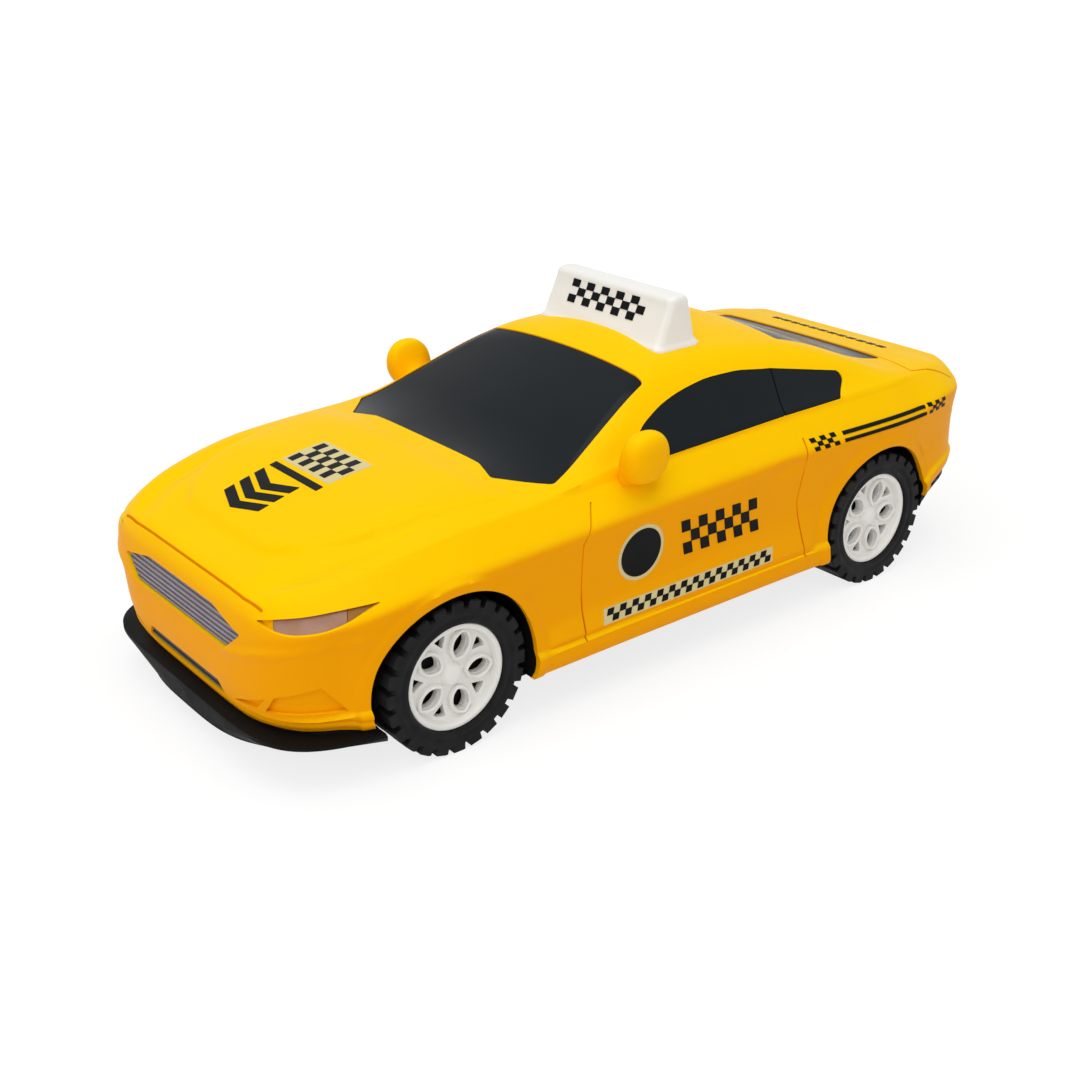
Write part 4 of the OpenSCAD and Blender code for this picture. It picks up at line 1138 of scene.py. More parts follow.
    def arc(self) -> Rows:
        """Draws the front side window with its upper edge as a smooth arc."""
        top = sorted(self.side_front[:-2])
        places = np.linspace(top[-1][0], top[0][0], self.arc_steps)
        return [*zip(places, curve(top, places)), *self.side_front[-2:]]

    def reaches(self, near_share: float) -> tuple[Pair, Pair]:
        """Gives the spans across the car, on the left and on the right, that flank cutters fill."""
        half = self.surface.half_w
        return both_sides(near_share * half, self.past_share * half)

    def windows(self, gap: float) -> bpy.types.Object:
        """Builds the solids that fill the window openings.

        Args:
            gap: How much smaller than the openings they are.

        Returns:
            One object of all the solids.
        """
        s, r = self.surface, self.corner_r - gap
        low, high = s.belt_z * self.glass_low_share, s.roof_z + self.overrun
        size = np.array((s.screen_x, s.half_w))
        outer = np.array(self.screen_outer) * size
        rear = mirrored(np.array(self.rear_window) * (-s.rear_x, s.half_w))
        above = [mirrored(np.array(self.screen_middle) * size), outer, outer * (1, -1), rear]
        shapes = [prism(hull_outline(rows, r), Axis.Z, low, high) for rows in above]
        scale, foot = np.array((s.half_l, s.roof_z - s.belt_z)), np.array((0, s.belt_z))
        for reach in self.reaches(self.side_near_share):
            for rows in (self.arc(), self.side_rear):
                shapes.append(prism(hull_outline(np.array(rows) * scale + foot, r), Axis.Y, *reach))
        return merge("openings", shapes)

    def lamp(self, edges: LampEdges, side: int, gap: float, span: Pair = (0, 1)) -> Shape:
        """Builds the block that a lamp's opening is cut with.

        Args:
            edges: The opening.
            side: 1 for the left lamp, -1 for the right one.
            gap: How much smaller than the opening it is.
            span: Shares of the lamp's length where the block starts and ends.

        Returns:
            The points and faces.
        """
        s = self.surface
        ends = np.array(edges.tips) * (s.half_l, s.half_w)
        along = (ends[1] - ends[0]) / np.linalg.norm(ends[1] - ends[0])
        out = np.array((-along[1], along[0]))
        out *= np.sign(out @ ends.mean(0)) * self.lamp_depth
        rings = []
        for share in np.linspace(*span, self.lamp_steps):
            at = ends[0] + share * (ends[1] - ends[0])
            z0, z1 = (float(curve(rows, share)) * s.belt_z for rows in (edges.low, edges.high))
            z0, z1 = min(z0 + gap, z1 - self.lamp_least), max(z1 - gap, z0 + self.lamp_least)
            near, far = at - out, at + out
            ring = [(*near, z0), (*far, z0), (*far, z1), (*near, z1)]
            rings.append(np.array(ring) * (1, side, 1))
        return loft(rings)

    def lamp_blocks(self, gap: float) -> list[Shape]:
        """Builds the blocks of all four lamps, heads first, left before right."""
        return [self.lamp(edges, side, gap) for edges in (self.head, self.tail) for side in SIDES.values()]

    def nose_block(self, rows: Rows, gap: float) -> Shape:
        """Builds the block that an opening in the nose is cut with.

        Args:
            rows: Corners on the left, as shares of the half width and the belt height.
            gap: How much smaller than the opening it is.

        Returns:
            The points and faces.
        """
        s = self.surface
        corners = np.array(rows) * (s.half_w, s.belt_z)
        both = [*corners, *(corners * (-1, 1))]
        outline = hull_outline(both, max(self.grille_corner - gap, self.least_corner))
        return prism(outline, Axis.X, s.half_l / 2, s.half_l * self.past_share)

    def ribbon(self, rows: Rows, axis: Axis, reach: Pair) -> list[Shape]:
        """Builds thin blocks along a joint line.

        Args:
            rows: Corners of the line, in millimetres.
            axis: Direction that the line is cut along.
            reach: Where the blocks start and end along it.

        Returns:
            One block for each straight part.
        """
        points = np.asarray(rows, float)
        pairs = zip(points, points[1:])
        return [prism(hull_outline(pair, self.line_w / 2), axis, *reach) for pair in pairs]

    def joint_lines(self) -> bpy.types.Object:
        """Builds the solid of the doors', hood's and boot's joint lines, as deep as they are cut.

        Returns:
            One object of all the lines.
        """
        s = self.surface
        scale = np.array((s.half_l, s.belt_z))
        shapes = []
        for reach in self.reaches(self.line_near_share):
            for rows in (self.door_front, self.door_rear):
                shapes += self.ribbon(np.array(rows) * scale, Axis.Y, reach)
        for rows in (self.hood_line, self.boot_line):
            shapes += self.ribbon(rows, Axis.Z, (s.belt_z * self.line_low_share, s.roof_z))
        lines = merge("joint_lines", shapes)
        combine(lines, self.inner(self.line_depth), Op.CUT)
        return lines

    def fog_recesses(self) -> bpy.types.Object:
        """Builds the hollows low in the bumper's corners, each in two parts beside a slanted fin.

        Returns:
            One object of all the hollows.
        """
        out = np.array(self.fog_out) * self.fog_reach
        shapes = []
        for side in SIDES.values():
            for corners in self.fog_parts:
                rings = [np.array(corners) - out, np.array(corners) + out]
                shapes.append(loft([ring * (1, side, 1) for ring in rings]))
        hollows = merge("fog_recesses", shapes)
        combine(hollows, self.inner(self.fog_depth), Op.CUT)
        return hollows

    def arch_blocks(self, radius: float) -> list[Shape]:
        """Builds the four round blocks of the wheel arches.

        Args:
            radius: Radius about the axle.

        Returns:
            The blocks.
        """
        turns = np.radians(np.arange(0, 360, 3))
        blocks = []
        for axle in self.axles:
            ring = np.stack((axle + radius * np.cos(turns), self.axle_z + radius * np.sin(turns)), 1)
            for reach in both_sides(self.arch_y, self.arch_end):
                blocks.append(prism(ring, Axis.Y, *reach))
        return blocks

    def painted_shade_liners(self) -> None:
        """Builds dark liners on the inner faces of the wheel arches, a little behind the skin: painted shade.
        """
        s = self.surface
        shade_liner = merge("arch_painted_shade_liners", self.arch_blocks(self.arch_r + self.liner_lap))
        combine(shade_liner, merge("arches", self.arch_blocks(self.arch_r - self.liner_t)), Op.CUT)
        combine(shade_liner, s.plain("limit", self.liner_drop, 0, s.coarse, rings=25), Op.KEEP)
        settle(shade(shade_liner), Finishes.BLACK, "black_plastic", Body.CAR)

    def build(self) -> bpy.types.Object:
        """Builds and dresses the shell.

        Returns:
            The finished piece.
        """
        # Painted shade: black liners darken the arches' inner faces
        self.painted_shade_liners()
        shell = piece("body_moulding", self.skin())
        combine(shell, self.inner(self.wall), Op.CUT)
        combine(shell, self.windows(0), Op.CUT)
        combine(shell, merge("arches", self.arch_blocks(self.arch_r)), Op.CUT)
        blocks = [self.nose_block(self.grille, 0), self.nose_block(self.intake, 0)]
        for shape in [*blocks, *self.lamp_blocks(0)]:
            combine(shell, piece("opening", shape), Op.CUT)
        for tool in (self.fog_recesses(), self.joint_lines()):
            combine(shell, tool, Op.CUT)
        shade(shell, degrees=38)
        return settle(shell, Finishes.BODY, "yellow_plastic", Body.CAR, "body_shell")


@dataclass
class Inserts:
    """Panes, lamps and grilles that fill the shell's openings. Pairs of depths are face and back."""

    shell: BodyShell
    gap: float = 0.06
    pane_drop: float = 0.3
    pane_t: float = 1.5
    pillar: Rows = ((-41, 70), (-33.6, 52))
    pillar_reach: Pair = (20, 70)
    pillar_depth: float = 0.5
    panel_depths: Pair = (1, 2.4)
    bar_depths: Pair = (0.6, 1.6)
    bar_pitch: float = 1.1
    bar_t: float = 0.5
    bar_x: Pair = (60, 150)
    bar_half: float = 60
    lens_depths: Pair = (0.45, 2.4)
    lens_span: Pair = (0.26, 0.86)
    amber_span: Pair = (0.02, 0.255)
    bezel_depths: Pair = (0.8, 2.4)
    bezel_span: Pair = (0.866, 0.99)
    tail_parts: int = 3
    tail_gap_share: float = 0.015
    tail_depths: Pair = (0.3, 2.4)
    tail_back_depths: Pair = (1.2, 2.6)

    def fill(self, name: str, depths: Pair, tool: bpy.types.Object) -> bpy.types.Object:
        """Keeps the part of a thin shell that lies in an opening.

        Args:
            name: Name of the piece.
            depths: Depths of its face and its back under the skin.
            tool: Solid of the opening.

        Returns:
            The piece.
        """
        made = self.shell.layer(name, *depths)
        combine(made, tool, Op.KEEP)
        return shade(made)

    def lens(self, name: str, depths: Pair, edges: LampEdges, side: int, span: Pair) -> bpy.types.Object:
        """Fills a stretch of a lamp's opening, between two shares of the lamp's length."""
        return self.fill(name, depths, piece("opening", self.shell.lamp(edges, side, self.gap, span)))

    def panes(self) -> None:
        """Builds the smoked panes, with a pillar line in each side window."""
        depths = (self.pane_drop, self.pane_drop + self.pane_t)
        glass = self.fill("smoked_panes", depths, self.shell.windows(self.gap))
        for reach in both_sides(*self.pillar_reach):
            for shape in self.shell.ribbon(self.pillar, Axis.Y, reach):
                line = piece("pillar_line", shape)
                combine(line, self.shell.inner(self.pane_drop + self.pillar_depth), Op.CUT)
                combine(glass, line, Op.CUT)
        settle(glass, Finishes.GLASS, "smoked_plastic", Body.CAR, "window_insert")

    def bars(self, name: str, rows: Rows, finish: Finish, node: str, slot: str) -> None:
        """Builds a ribbed panel in an opening of the nose.

        Args:
            name: Name of the piece.
            rows: The opening's corners.
            finish: Finish of the panel.
            node: CAD node that it stands for.
            slot: Name of the material slot, handed on to settle.
        """
        block = self.shell.nose_block(rows, self.gap)
        panel = self.fill(name, self.panel_depths, piece("opening", block))
        low, high = block[0][:, 2].min(), block[0][:, 2].max()
        count = max(int((high - low) / self.bar_pitch), 2)
        near, far = self.bar_x
        slab = np.array(rectangle((near, -self.bar_half), (far, self.bar_half)))
        bar = piece("bar", prism(slab, Axis.Z, -self.bar_t / 2, self.bar_t / 2))
        step = (high - low) / count
        Repeat(Layout.ROW, count, (0, 0, low + step / 2), (0, 0, step)).apply(bar, finish)
        ribs = self.shell.layer("ribs", *self.bar_depths)
        combine(ribs, piece("opening", block), Op.KEEP)
        combine(ribs, bar, Op.KEEP)
        combine(panel, ribs, Op.ADD)
        settle(shade(panel), finish, slot, Body.CAR, node)

    def lamps(self, name: str, side: int) -> None:
        """Builds one side's head lamp with its amber end, and its ribbed tail lamp.

        Args:
            name: "left" or "right".
            side: 1 for the left side, -1 for the right one.
        """
        head, tail = self.shell.head, self.shell.tail
        clear = self.lens(f"head_lamp_{name}", self.lens_depths, head, side, self.lens_span)
        settle(clear, Finishes.LAMP, "clear_plastic", Body.CAR, f"headlight_{name}")
        amber = self.lens(f"side_lamp_{name}", self.lens_depths, head, side, self.amber_span)
        settle(amber, Finishes.AMBER, "clear_plastic", Body.CAR)
        bezel = self.lens(f"lamp_bezel_{name}", self.bezel_depths, head, side, self.bezel_span)
        settle(bezel, Finishes.BODY, "yellow_plastic", Body.CAR)
        parts = []
        for k in range(self.tail_parts):
            low, high = k / self.tail_parts, (k + 1) / self.tail_parts
            span = (low + self.tail_gap_share, high - self.tail_gap_share)
            parts.append(self.lens("part", self.tail_depths, tail, side, span))
        parts.append(self.lens("part", self.tail_back_depths, tail, side, (0, 1)))
        red = shade(join(f"tail_lamp_{name}", parts))
        settle(red, Finishes.RED, "red_plastic", Body.CAR, f"tail_light_{name}")

    def build(self) -> None:
        """Builds all the inserts."""
        b = self.shell
        self.panes()
        for name, side in SIDES.items():
            self.lamps(name, side)
        self.bars("grille_panel", b.grille, Finishes.GRILLE, "upper_grille", "grey_plastic")
        self.bars("intake_panel", b.intake, Finishes.INTAKE, "lower_grille", "dark_plastic")


@dataclass
class RoofSign:
    """The white sign on the roof: a flange, a leaning body and a rounded crown."""

    surface: BodySurface
    x: float = -16.2
    width: float = 48
    height: float = 11
    foot: float = 14
    top: float = 7.4
    lean: float = 1
    side_lean: float = 0.3
    corner: float = 2.2
    least: float = 0.05
    sink: float = 4
    fit: float = 0.02
    flange_h: float = 1.3
    # Height over the body's foot, and how much wider and deeper than the body
    flange: Rows = ((-1, 1.6, 1.6), (-0.7, 1.35, 1.3), (-0.3, 0.6, 0.5), (0.3, 0.1, -0.6))
    body_shares: Sequence[float] = (0.35, 0.7, 1)
    crown_h: float = 2.4
    # Share of the crown's height, and share of it that the edges have drawn in
    rounding: Rows = (
        (0.3, 0.04), (0.5, 0.1), (0.68, 0.2), (0.82, 0.33), (0.93, 0.5), (0.985, 0.68), (1, 0.85),
    )

    def roof_at(self, y: np.ndarray) -> np.ndarray:
        """Gives the roof's height under the sign, at places across the car."""
        return self.surface.top_at(np.full_like(y, self.x), y)

    def plate(self, z: float, w: float, d: float, x: float, bend: float = 0) -> np.ndarray:
        """Draws one level of the sign as a rounded rectangle.

        Args:
            z: Height.
            w: Width across the car.
            d: Depth along it.
            x: Place along it.
            bend: How much it follows the bow of the roof, from 0 to 1.

        Returns:
            The ring of points.
        """
        r = min(self.corner, d / 2 - self.least, w / 2 - self.least)
        ring = []
        for a, b, first in ((1, 1, 0), (-1, 1, 90), (-1, -1, 180), (1, -1, 270)):
            for turn in np.radians(np.arange(first, first + 91, 15)):
                along = x + a * (d / 2 - r) + r * math.cos(turn)
                across = b * (w / 2 - r) + r * math.sin(turn)
                ring.append((along, across, z))
        level = np.array(ring)
        level[:, 2] += bend * (self.roof_at(level[:, 1]) - self.roof_at(np.zeros(1)))
        return level

    def build(self) -> bpy.types.Object:
        """Builds and dresses the sign.

        Returns:
            The piece.
        """
        s = self.surface
        middle, edge = self.roof_at(np.array((0, s.half_w / 2)))
        body = middle + self.flange_h
        crown = s.roof_z + self.height - self.crown_h
        top_w = self.width - 2 * self.side_lean
        levels = []
        for rise, wider, deeper in ((edge - self.sink - body, *self.flange[0][1:]), *self.flange):
            levels.append((body + rise, self.width + wider, self.foot + deeper, self.x, 1))
        for t in self.body_shares:
            width, depth = self.width + (top_w - self.width) * t, self.foot + (self.top - self.foot) * t
            levels.append((body + t * (crown - body), width, depth, self.x - self.lean * t, 1 - t))
        for t, fall in self.rounding:
            width, depth = top_w - fall * self.crown_h, self.top - fall * 2 * self.crown_h
            levels.append((crown + t * self.crown_h, width, depth, self.x - self.lean))
        sign = piece("sign_box", loft([self.plate(*level) for level in levels]))
        combine(sign, s.plain("roof", self.fit, 0, s.fine, rings=12), Op.CUT)
        return settle(shade(sign), Finishes.WHITE, "white_plastic", Body.CAR, "roof_sign")


@dataclass
class DoorMirrors:
    """The pair of mirrors: rounded housings on short feet."""

    surface: BodySurface
    x: float = 19
    reach: float = 8.4
    width: float = 13.4
    height: float = 13.4
    z_share: float = 1.045
    root: float = 2
    fit: float = 0.02
    slices: int = 44
    swell: Rows = ((0, 0.5), (0.18, 0.62), (0.42, 0.95), (0.6, 1), (1.1, 1))
    lift: Rows = ((0, -0.42), (0.25, -0.3), (0.5, 0), (1, 0.05))
    dome: Pair = (0.6, 1.003)
    dome_power: float = 2.6
    square_power: float = 0.85

    def ring(self, t: float) -> np.ndarray:
        """Draws one slice of the left housing.

        Args:
            t: Share of the way out from the door.

        Returns:
            The ring of points.
        """
        s = self.surface
        door = s.half_w * float(curve(s.side_foot, self.x / s.half_l))
        past = max(t - self.dome[0], 0) / (self.dome[1] - self.dome[0])
        size = float(curve(self.swell, t)) * (1 - past**self.dome_power) ** (1 / self.dome_power) / 2
        turns = np.radians(np.arange(0, 360, 7.5))
        squared = np.abs(np.cos(turns)) ** self.square_power * np.sign(np.cos(turns))
        middle = s.belt_z * self.z_share + float(curve(self.lift, t)) * self.height
        x = self.x + self.width * size * squared
        y = np.full(len(turns), door - self.root + t * (self.reach + self.root))
        return np.stack((x, y, middle - self.height * size * np.sin(turns)), 1)

    def build(self) -> None:
        """Builds and dresses both mirrors."""
        s = self.surface
        rings = [self.ring(math.sin(turn)) for turn in np.linspace(0, math.pi / 2, self.slices)]
        left = piece("mirror_housing_left", loft(rings))
        combine(left, s.plain("door", self.fit, 0, s.fine, rings=30), Op.CUT)
        shade(left)
        right = reflected(left, "mirror_housing_right")
        settle(left, Finishes.HOUSING, "yellow_plastic", Body.CAR, "mirror_left")
        settle(right, Finishes.HOUSING, "yellow_plastic", Body.CAR, "mirror_right")


@dataclass
class Wheel:
    """A white rim with leaf windows and a black tyre with lugs, drawn about Z with its face up."""

    x: float
    axle_z: float
    face_y: float
    steps: int = 120
    spokes: int = 5
    turn: float = 38
    # Rim
    rim_in: float = 11.2
    seat_r: float = 12.5
    lip_r: float = 13.3
    hub_r: float = 3.4
    bore_r: float = 1.52
    bore_z: float = -3.7
    web_z: float = -4.9
    hub_past: float = 2.2
    # Radius and height of the rim's face, from the hub's middle to the lip
    rim_face: Rows = (
        (0, -1.75), (1.5, -1.8), (2.2, -2), (2.6, -2.5), (3.2, -3.2), (6.5, -3.4), (9.6, -3.35),
        (10.9, -3.25), (11.35, -3), (11.6, -2.2), (11.8, -1.4), (12.1, -1.08), (12.7, -1), (13.1, -1.05),
    )
    # Windows: the leaf's ends and the wedge's corners as shares of the rim's inner radius
    leaf_shares: Pair = (0.4, 0.93)
    leaf_half: float = 1.95
    leaf_power: float = 0.35
    wedge_shares: Rows = ((0.66, 0), (0.91, -0.15), (0.95, -0.1), (0.95, 0.1), (0.91, 0.15))
    # Height, and how much the leaf has grown or what share of its size the wedge has there
    leaf_draft: Rows = ((-6, -0.2), (-4, -0.15), (-2.9, 0), (-1, 0.2))
    wedge_draft: Rows = ((-6, 0.95), (-3.4, 1), (-2.4, 1.1), (-0.5, 1.2))
    # Raised edge round each leaf
    petal_out: float = 0.6
    petal_z: float = -2.95
    petal_half: Pair = (0.55, 0.85)
    petal_sides: int = 8
    # Painted shade: a dark plate behind the windows, standing in for the shade inside the wheel
    plate: Rows = ((3.5, -5.3), (11.1, -5.6), (11.1, -6.2), (3.5, -6.2))
    # Tyre
    tyre_r: float = 19.3
    tyre_w: float = 16
    tyre_in: float = 12.54
    # Radius and height of the tyre's side wall, from the rim's lip to the shoulder
    tyre_face: Rows = (
        (13.34, -2.05), (13.34, -0.9), (13.55, -0.35), (14, -0.1), (14.6, -0.12), (14.9, -0.3), (15.5, -0.3),
        (15.8, -0.1), (16.7, -0.05), (17.3, -0.2),
    )
    lug_h: float = 1.5
    lug_root: float = 1.2
    lug_ease: float = 0.35
    lug_count: int = 24
    lug_gap: float = 1.8
    lug_in: float = 5.9

    def leaf(self, grow: float) -> np.ndarray:
        """Draws the outline of one leaf window on the X axis.

        Args:
            grow: How much larger than the window.

        Returns:
            The outline.
        """
        near, far = (share * self.rim_in for share in self.leaf_shares)
        centre = np.array(((near + far) / 2, 0))
        turns = np.radians(np.arange(0, 360, 10))
        across = self.leaf_half * np.sin(turns) * np.abs(np.sin(turns)) ** self.leaf_power
        out = np.stack(((far - near) / 2 * np.cos(turns), across), 1)
        return centre + out + grow * out / np.linalg.norm(out, axis=1)[:, None]

    def cutters(self) -> list[Shape]:
        """Builds the sloped cutters of the leaf and wedge windows.

        Returns:
            The points and faces of each.
        """
        wedge = np.array(self.wedge_shares) * self.rim_in
        middle = wedge.mean(0)
        leaves = [np.insert(self.leaf(grow), 2, z, 1) for z, grow in self.leaf_draft]
        wedges = [np.insert(middle + (wedge - middle) * size, 2, z, 1) for z, size in self.wedge_draft]
        shapes = []
        for k in range(self.spokes):
            for stack, extra in ((leaves, 0.0), (wedges, 0.5)):
                turn = np.radians((k + extra) * 360 / self.spokes + self.turn)
                c, n = math.cos(turn), math.sin(turn)
                spin = np.array(((c, n, 0), (-n, c, 0), (0, 0, 1)))
                shapes.append(loft([ring @ spin for ring in stack]))
        return shapes

    def petal(self) -> Shape:
        """Builds one raised edge round a leaf window, as a bent tube.

        Returns:
            The points and faces.
        """
        path, n = self.leaf(self.petal_out), self.petal_sides
        count, centre = len(path), path.mean(0)
        wide, high = self.petal_half
        points, faces = [], []
        for p in path:
            out = (p - centre) / np.linalg.norm(p - centre)
            for a in np.radians(np.arange(n) * 360 / n):
                points.append((*(p + wide * math.cos(a) * out), self.petal_z + high * math.sin(a)))
        for i in range(count):
            for k in range(n):
                a, b, j = i * n, (i + 1) % count * n, (k + 1) % n
                faces.append((a + k, b + k, b + j, a + j))
        return np.array(points), faces

    def rim(self, name: str) -> bpy.types.Object:
        """Builds the rim.

        Args:
            name: Name of the piece.

        Returns:
            The rim about Z.
        """
        back, lip_z, ease = -self.tyre_w - self.hub_past, -2, 0.5
        profile = [
            *self.rim_face,
            (self.lip_r, -1.3), (self.lip_r, lip_z), (self.seat_r, lip_z), (self.seat_r, -self.tyre_w),
            (self.rim_in, -self.tyre_w), (self.rim_in, self.web_z - ease), (10.6, self.web_z),
            (self.hub_r, self.web_z), (self.hub_r, back),
            (self.bore_r, back), (self.bore_r, self.bore_z), (0, self.bore_z),
        ]
        rim = piece(name, lathe(profile, self.steps))
        edge = piece("petal", self.petal())
        Repeat(Layout.RING, self.spokes, turn=self.turn).apply(edge, Finishes.WHITE)
        combine(rim, edge, Op.ADD)
        for shape in self.cutters():
            combine(rim, piece("window", shape), Op.CUT)
        return shade(rim)

    def painted_shade_disc(self, name: str) -> bpy.types.Object:
        """Builds a dark plate behind the rim's windows, about Z: painted shade for the shade inside the
        wheel.
        """
        return shade(piece(name, lathe(self.plate, self.steps // 2)))

    def lug(self, low: float, high: float) -> Shape:
        """Builds one tread lug on the X axis, with its edges eased.

        Args:
            low: Inner end along the axle.
            high: Outer end.

        Returns:
            The points and faces.
        """
        half = (math.tau * self.tyre_r / self.lug_count - self.lug_gap) / 2
        root, ease = self.tyre_r - self.lug_h - self.lug_root, self.lug_ease
        rings = []
        for r, cut in ((root, 0), (self.tyre_r - ease, 0), (self.tyre_r, ease)):
            wide, near, far = half - cut, low + cut, high - cut
            rings.append(np.array(((r, -wide, near), (r, wide, near), (r, wide, far), (r, -wide, far))))
        return loft(rings)

    def tyre(self, name: str) -> bpy.types.Object:
        """Builds the tyre.

        Args:
            name: Name of the piece.

        Returns:
            The tyre about Z.
        """
        r, w, inner, lap = self.tyre_r, self.tyre_w, self.lug_in, 0.2
        base = r - self.lug_h
        profile = [
            (self.tyre_in, self.tyre_face[0][1]),
            *self.tyre_face,
            (base - 0.1, -0.7), (base, -1.2), (base, -inner + lap), (r - 0.25, -inner), (r, -inner - 0.3),
            (r, -w + inner + 0.3), (r - 0.25, -w + inner), (base, -w + inner - lap),
            (base, -w + 0.9), (base - 0.5, -w), (self.tyre_in, -w),
        ]
        parts = [piece(name, lathe(profile, self.steps))]
        half_pitch = 180 / self.lug_count
        for low, high, turn in ((-inner - lap, -0.12, 0), (-w + 0.05, -w + inner + lap, half_pitch)):
            lugs = piece("lugs", self.lug(low, high))
            parts.append(Repeat(Layout.RING, self.lug_count, turn=90 + turn).apply(lugs, Finishes.TYRE))
        return shade(join(name, parts), degrees=35)

    def build(self, place: str, body: Body) -> None:
        """Builds, dresses and sets both wheels of an axle.

        Args:
            place: "front" or "rear".
            body: The body of the axle.
        """
        for name, side in SIDES.items():
            stand = Matrix.Translation(Vector((self.x, side * self.face_y, self.axle_z)) * MM)
            stand @= Matrix.Rotation(math.radians(-90 * side), 4, "X")
            spun = Matrix.Rotation(math.radians(-2 * self.turn if side > 0 else 0), 4, "Z")
            for made, finish, slot, nodes in (
                (self.rim(f"wheel_{place}_{name}"), Finishes.WHITE, "white_plastic", [f"rim_{place}_{name}"]),
                (self.tyre(f"tread_{place}_{name}"), Finishes.TYRE, "tyre_rubber", [f"tyre_{place}_{name}"]),
                # Painted shade: a black plate that darkens the rim's windows
                (self.painted_shade_disc(f"backing_{place}_{name}"), Finishes.BLACK, "black_plastic", []),
            ):
                made.data.transform(stand @ spun)
                settle(made, finish, slot, body, *nodes)


@dataclass(frozen=True)
class Band:
    """A checker band, drawn flat.

    Attributes:
        corner: Its first corner.
        along: From one column to the next.
        up: From one row to the next.
        count: Columns and rows.
    """

    corner: Pair
    along: Pair
    up: Pair
    count: tuple[int, int]


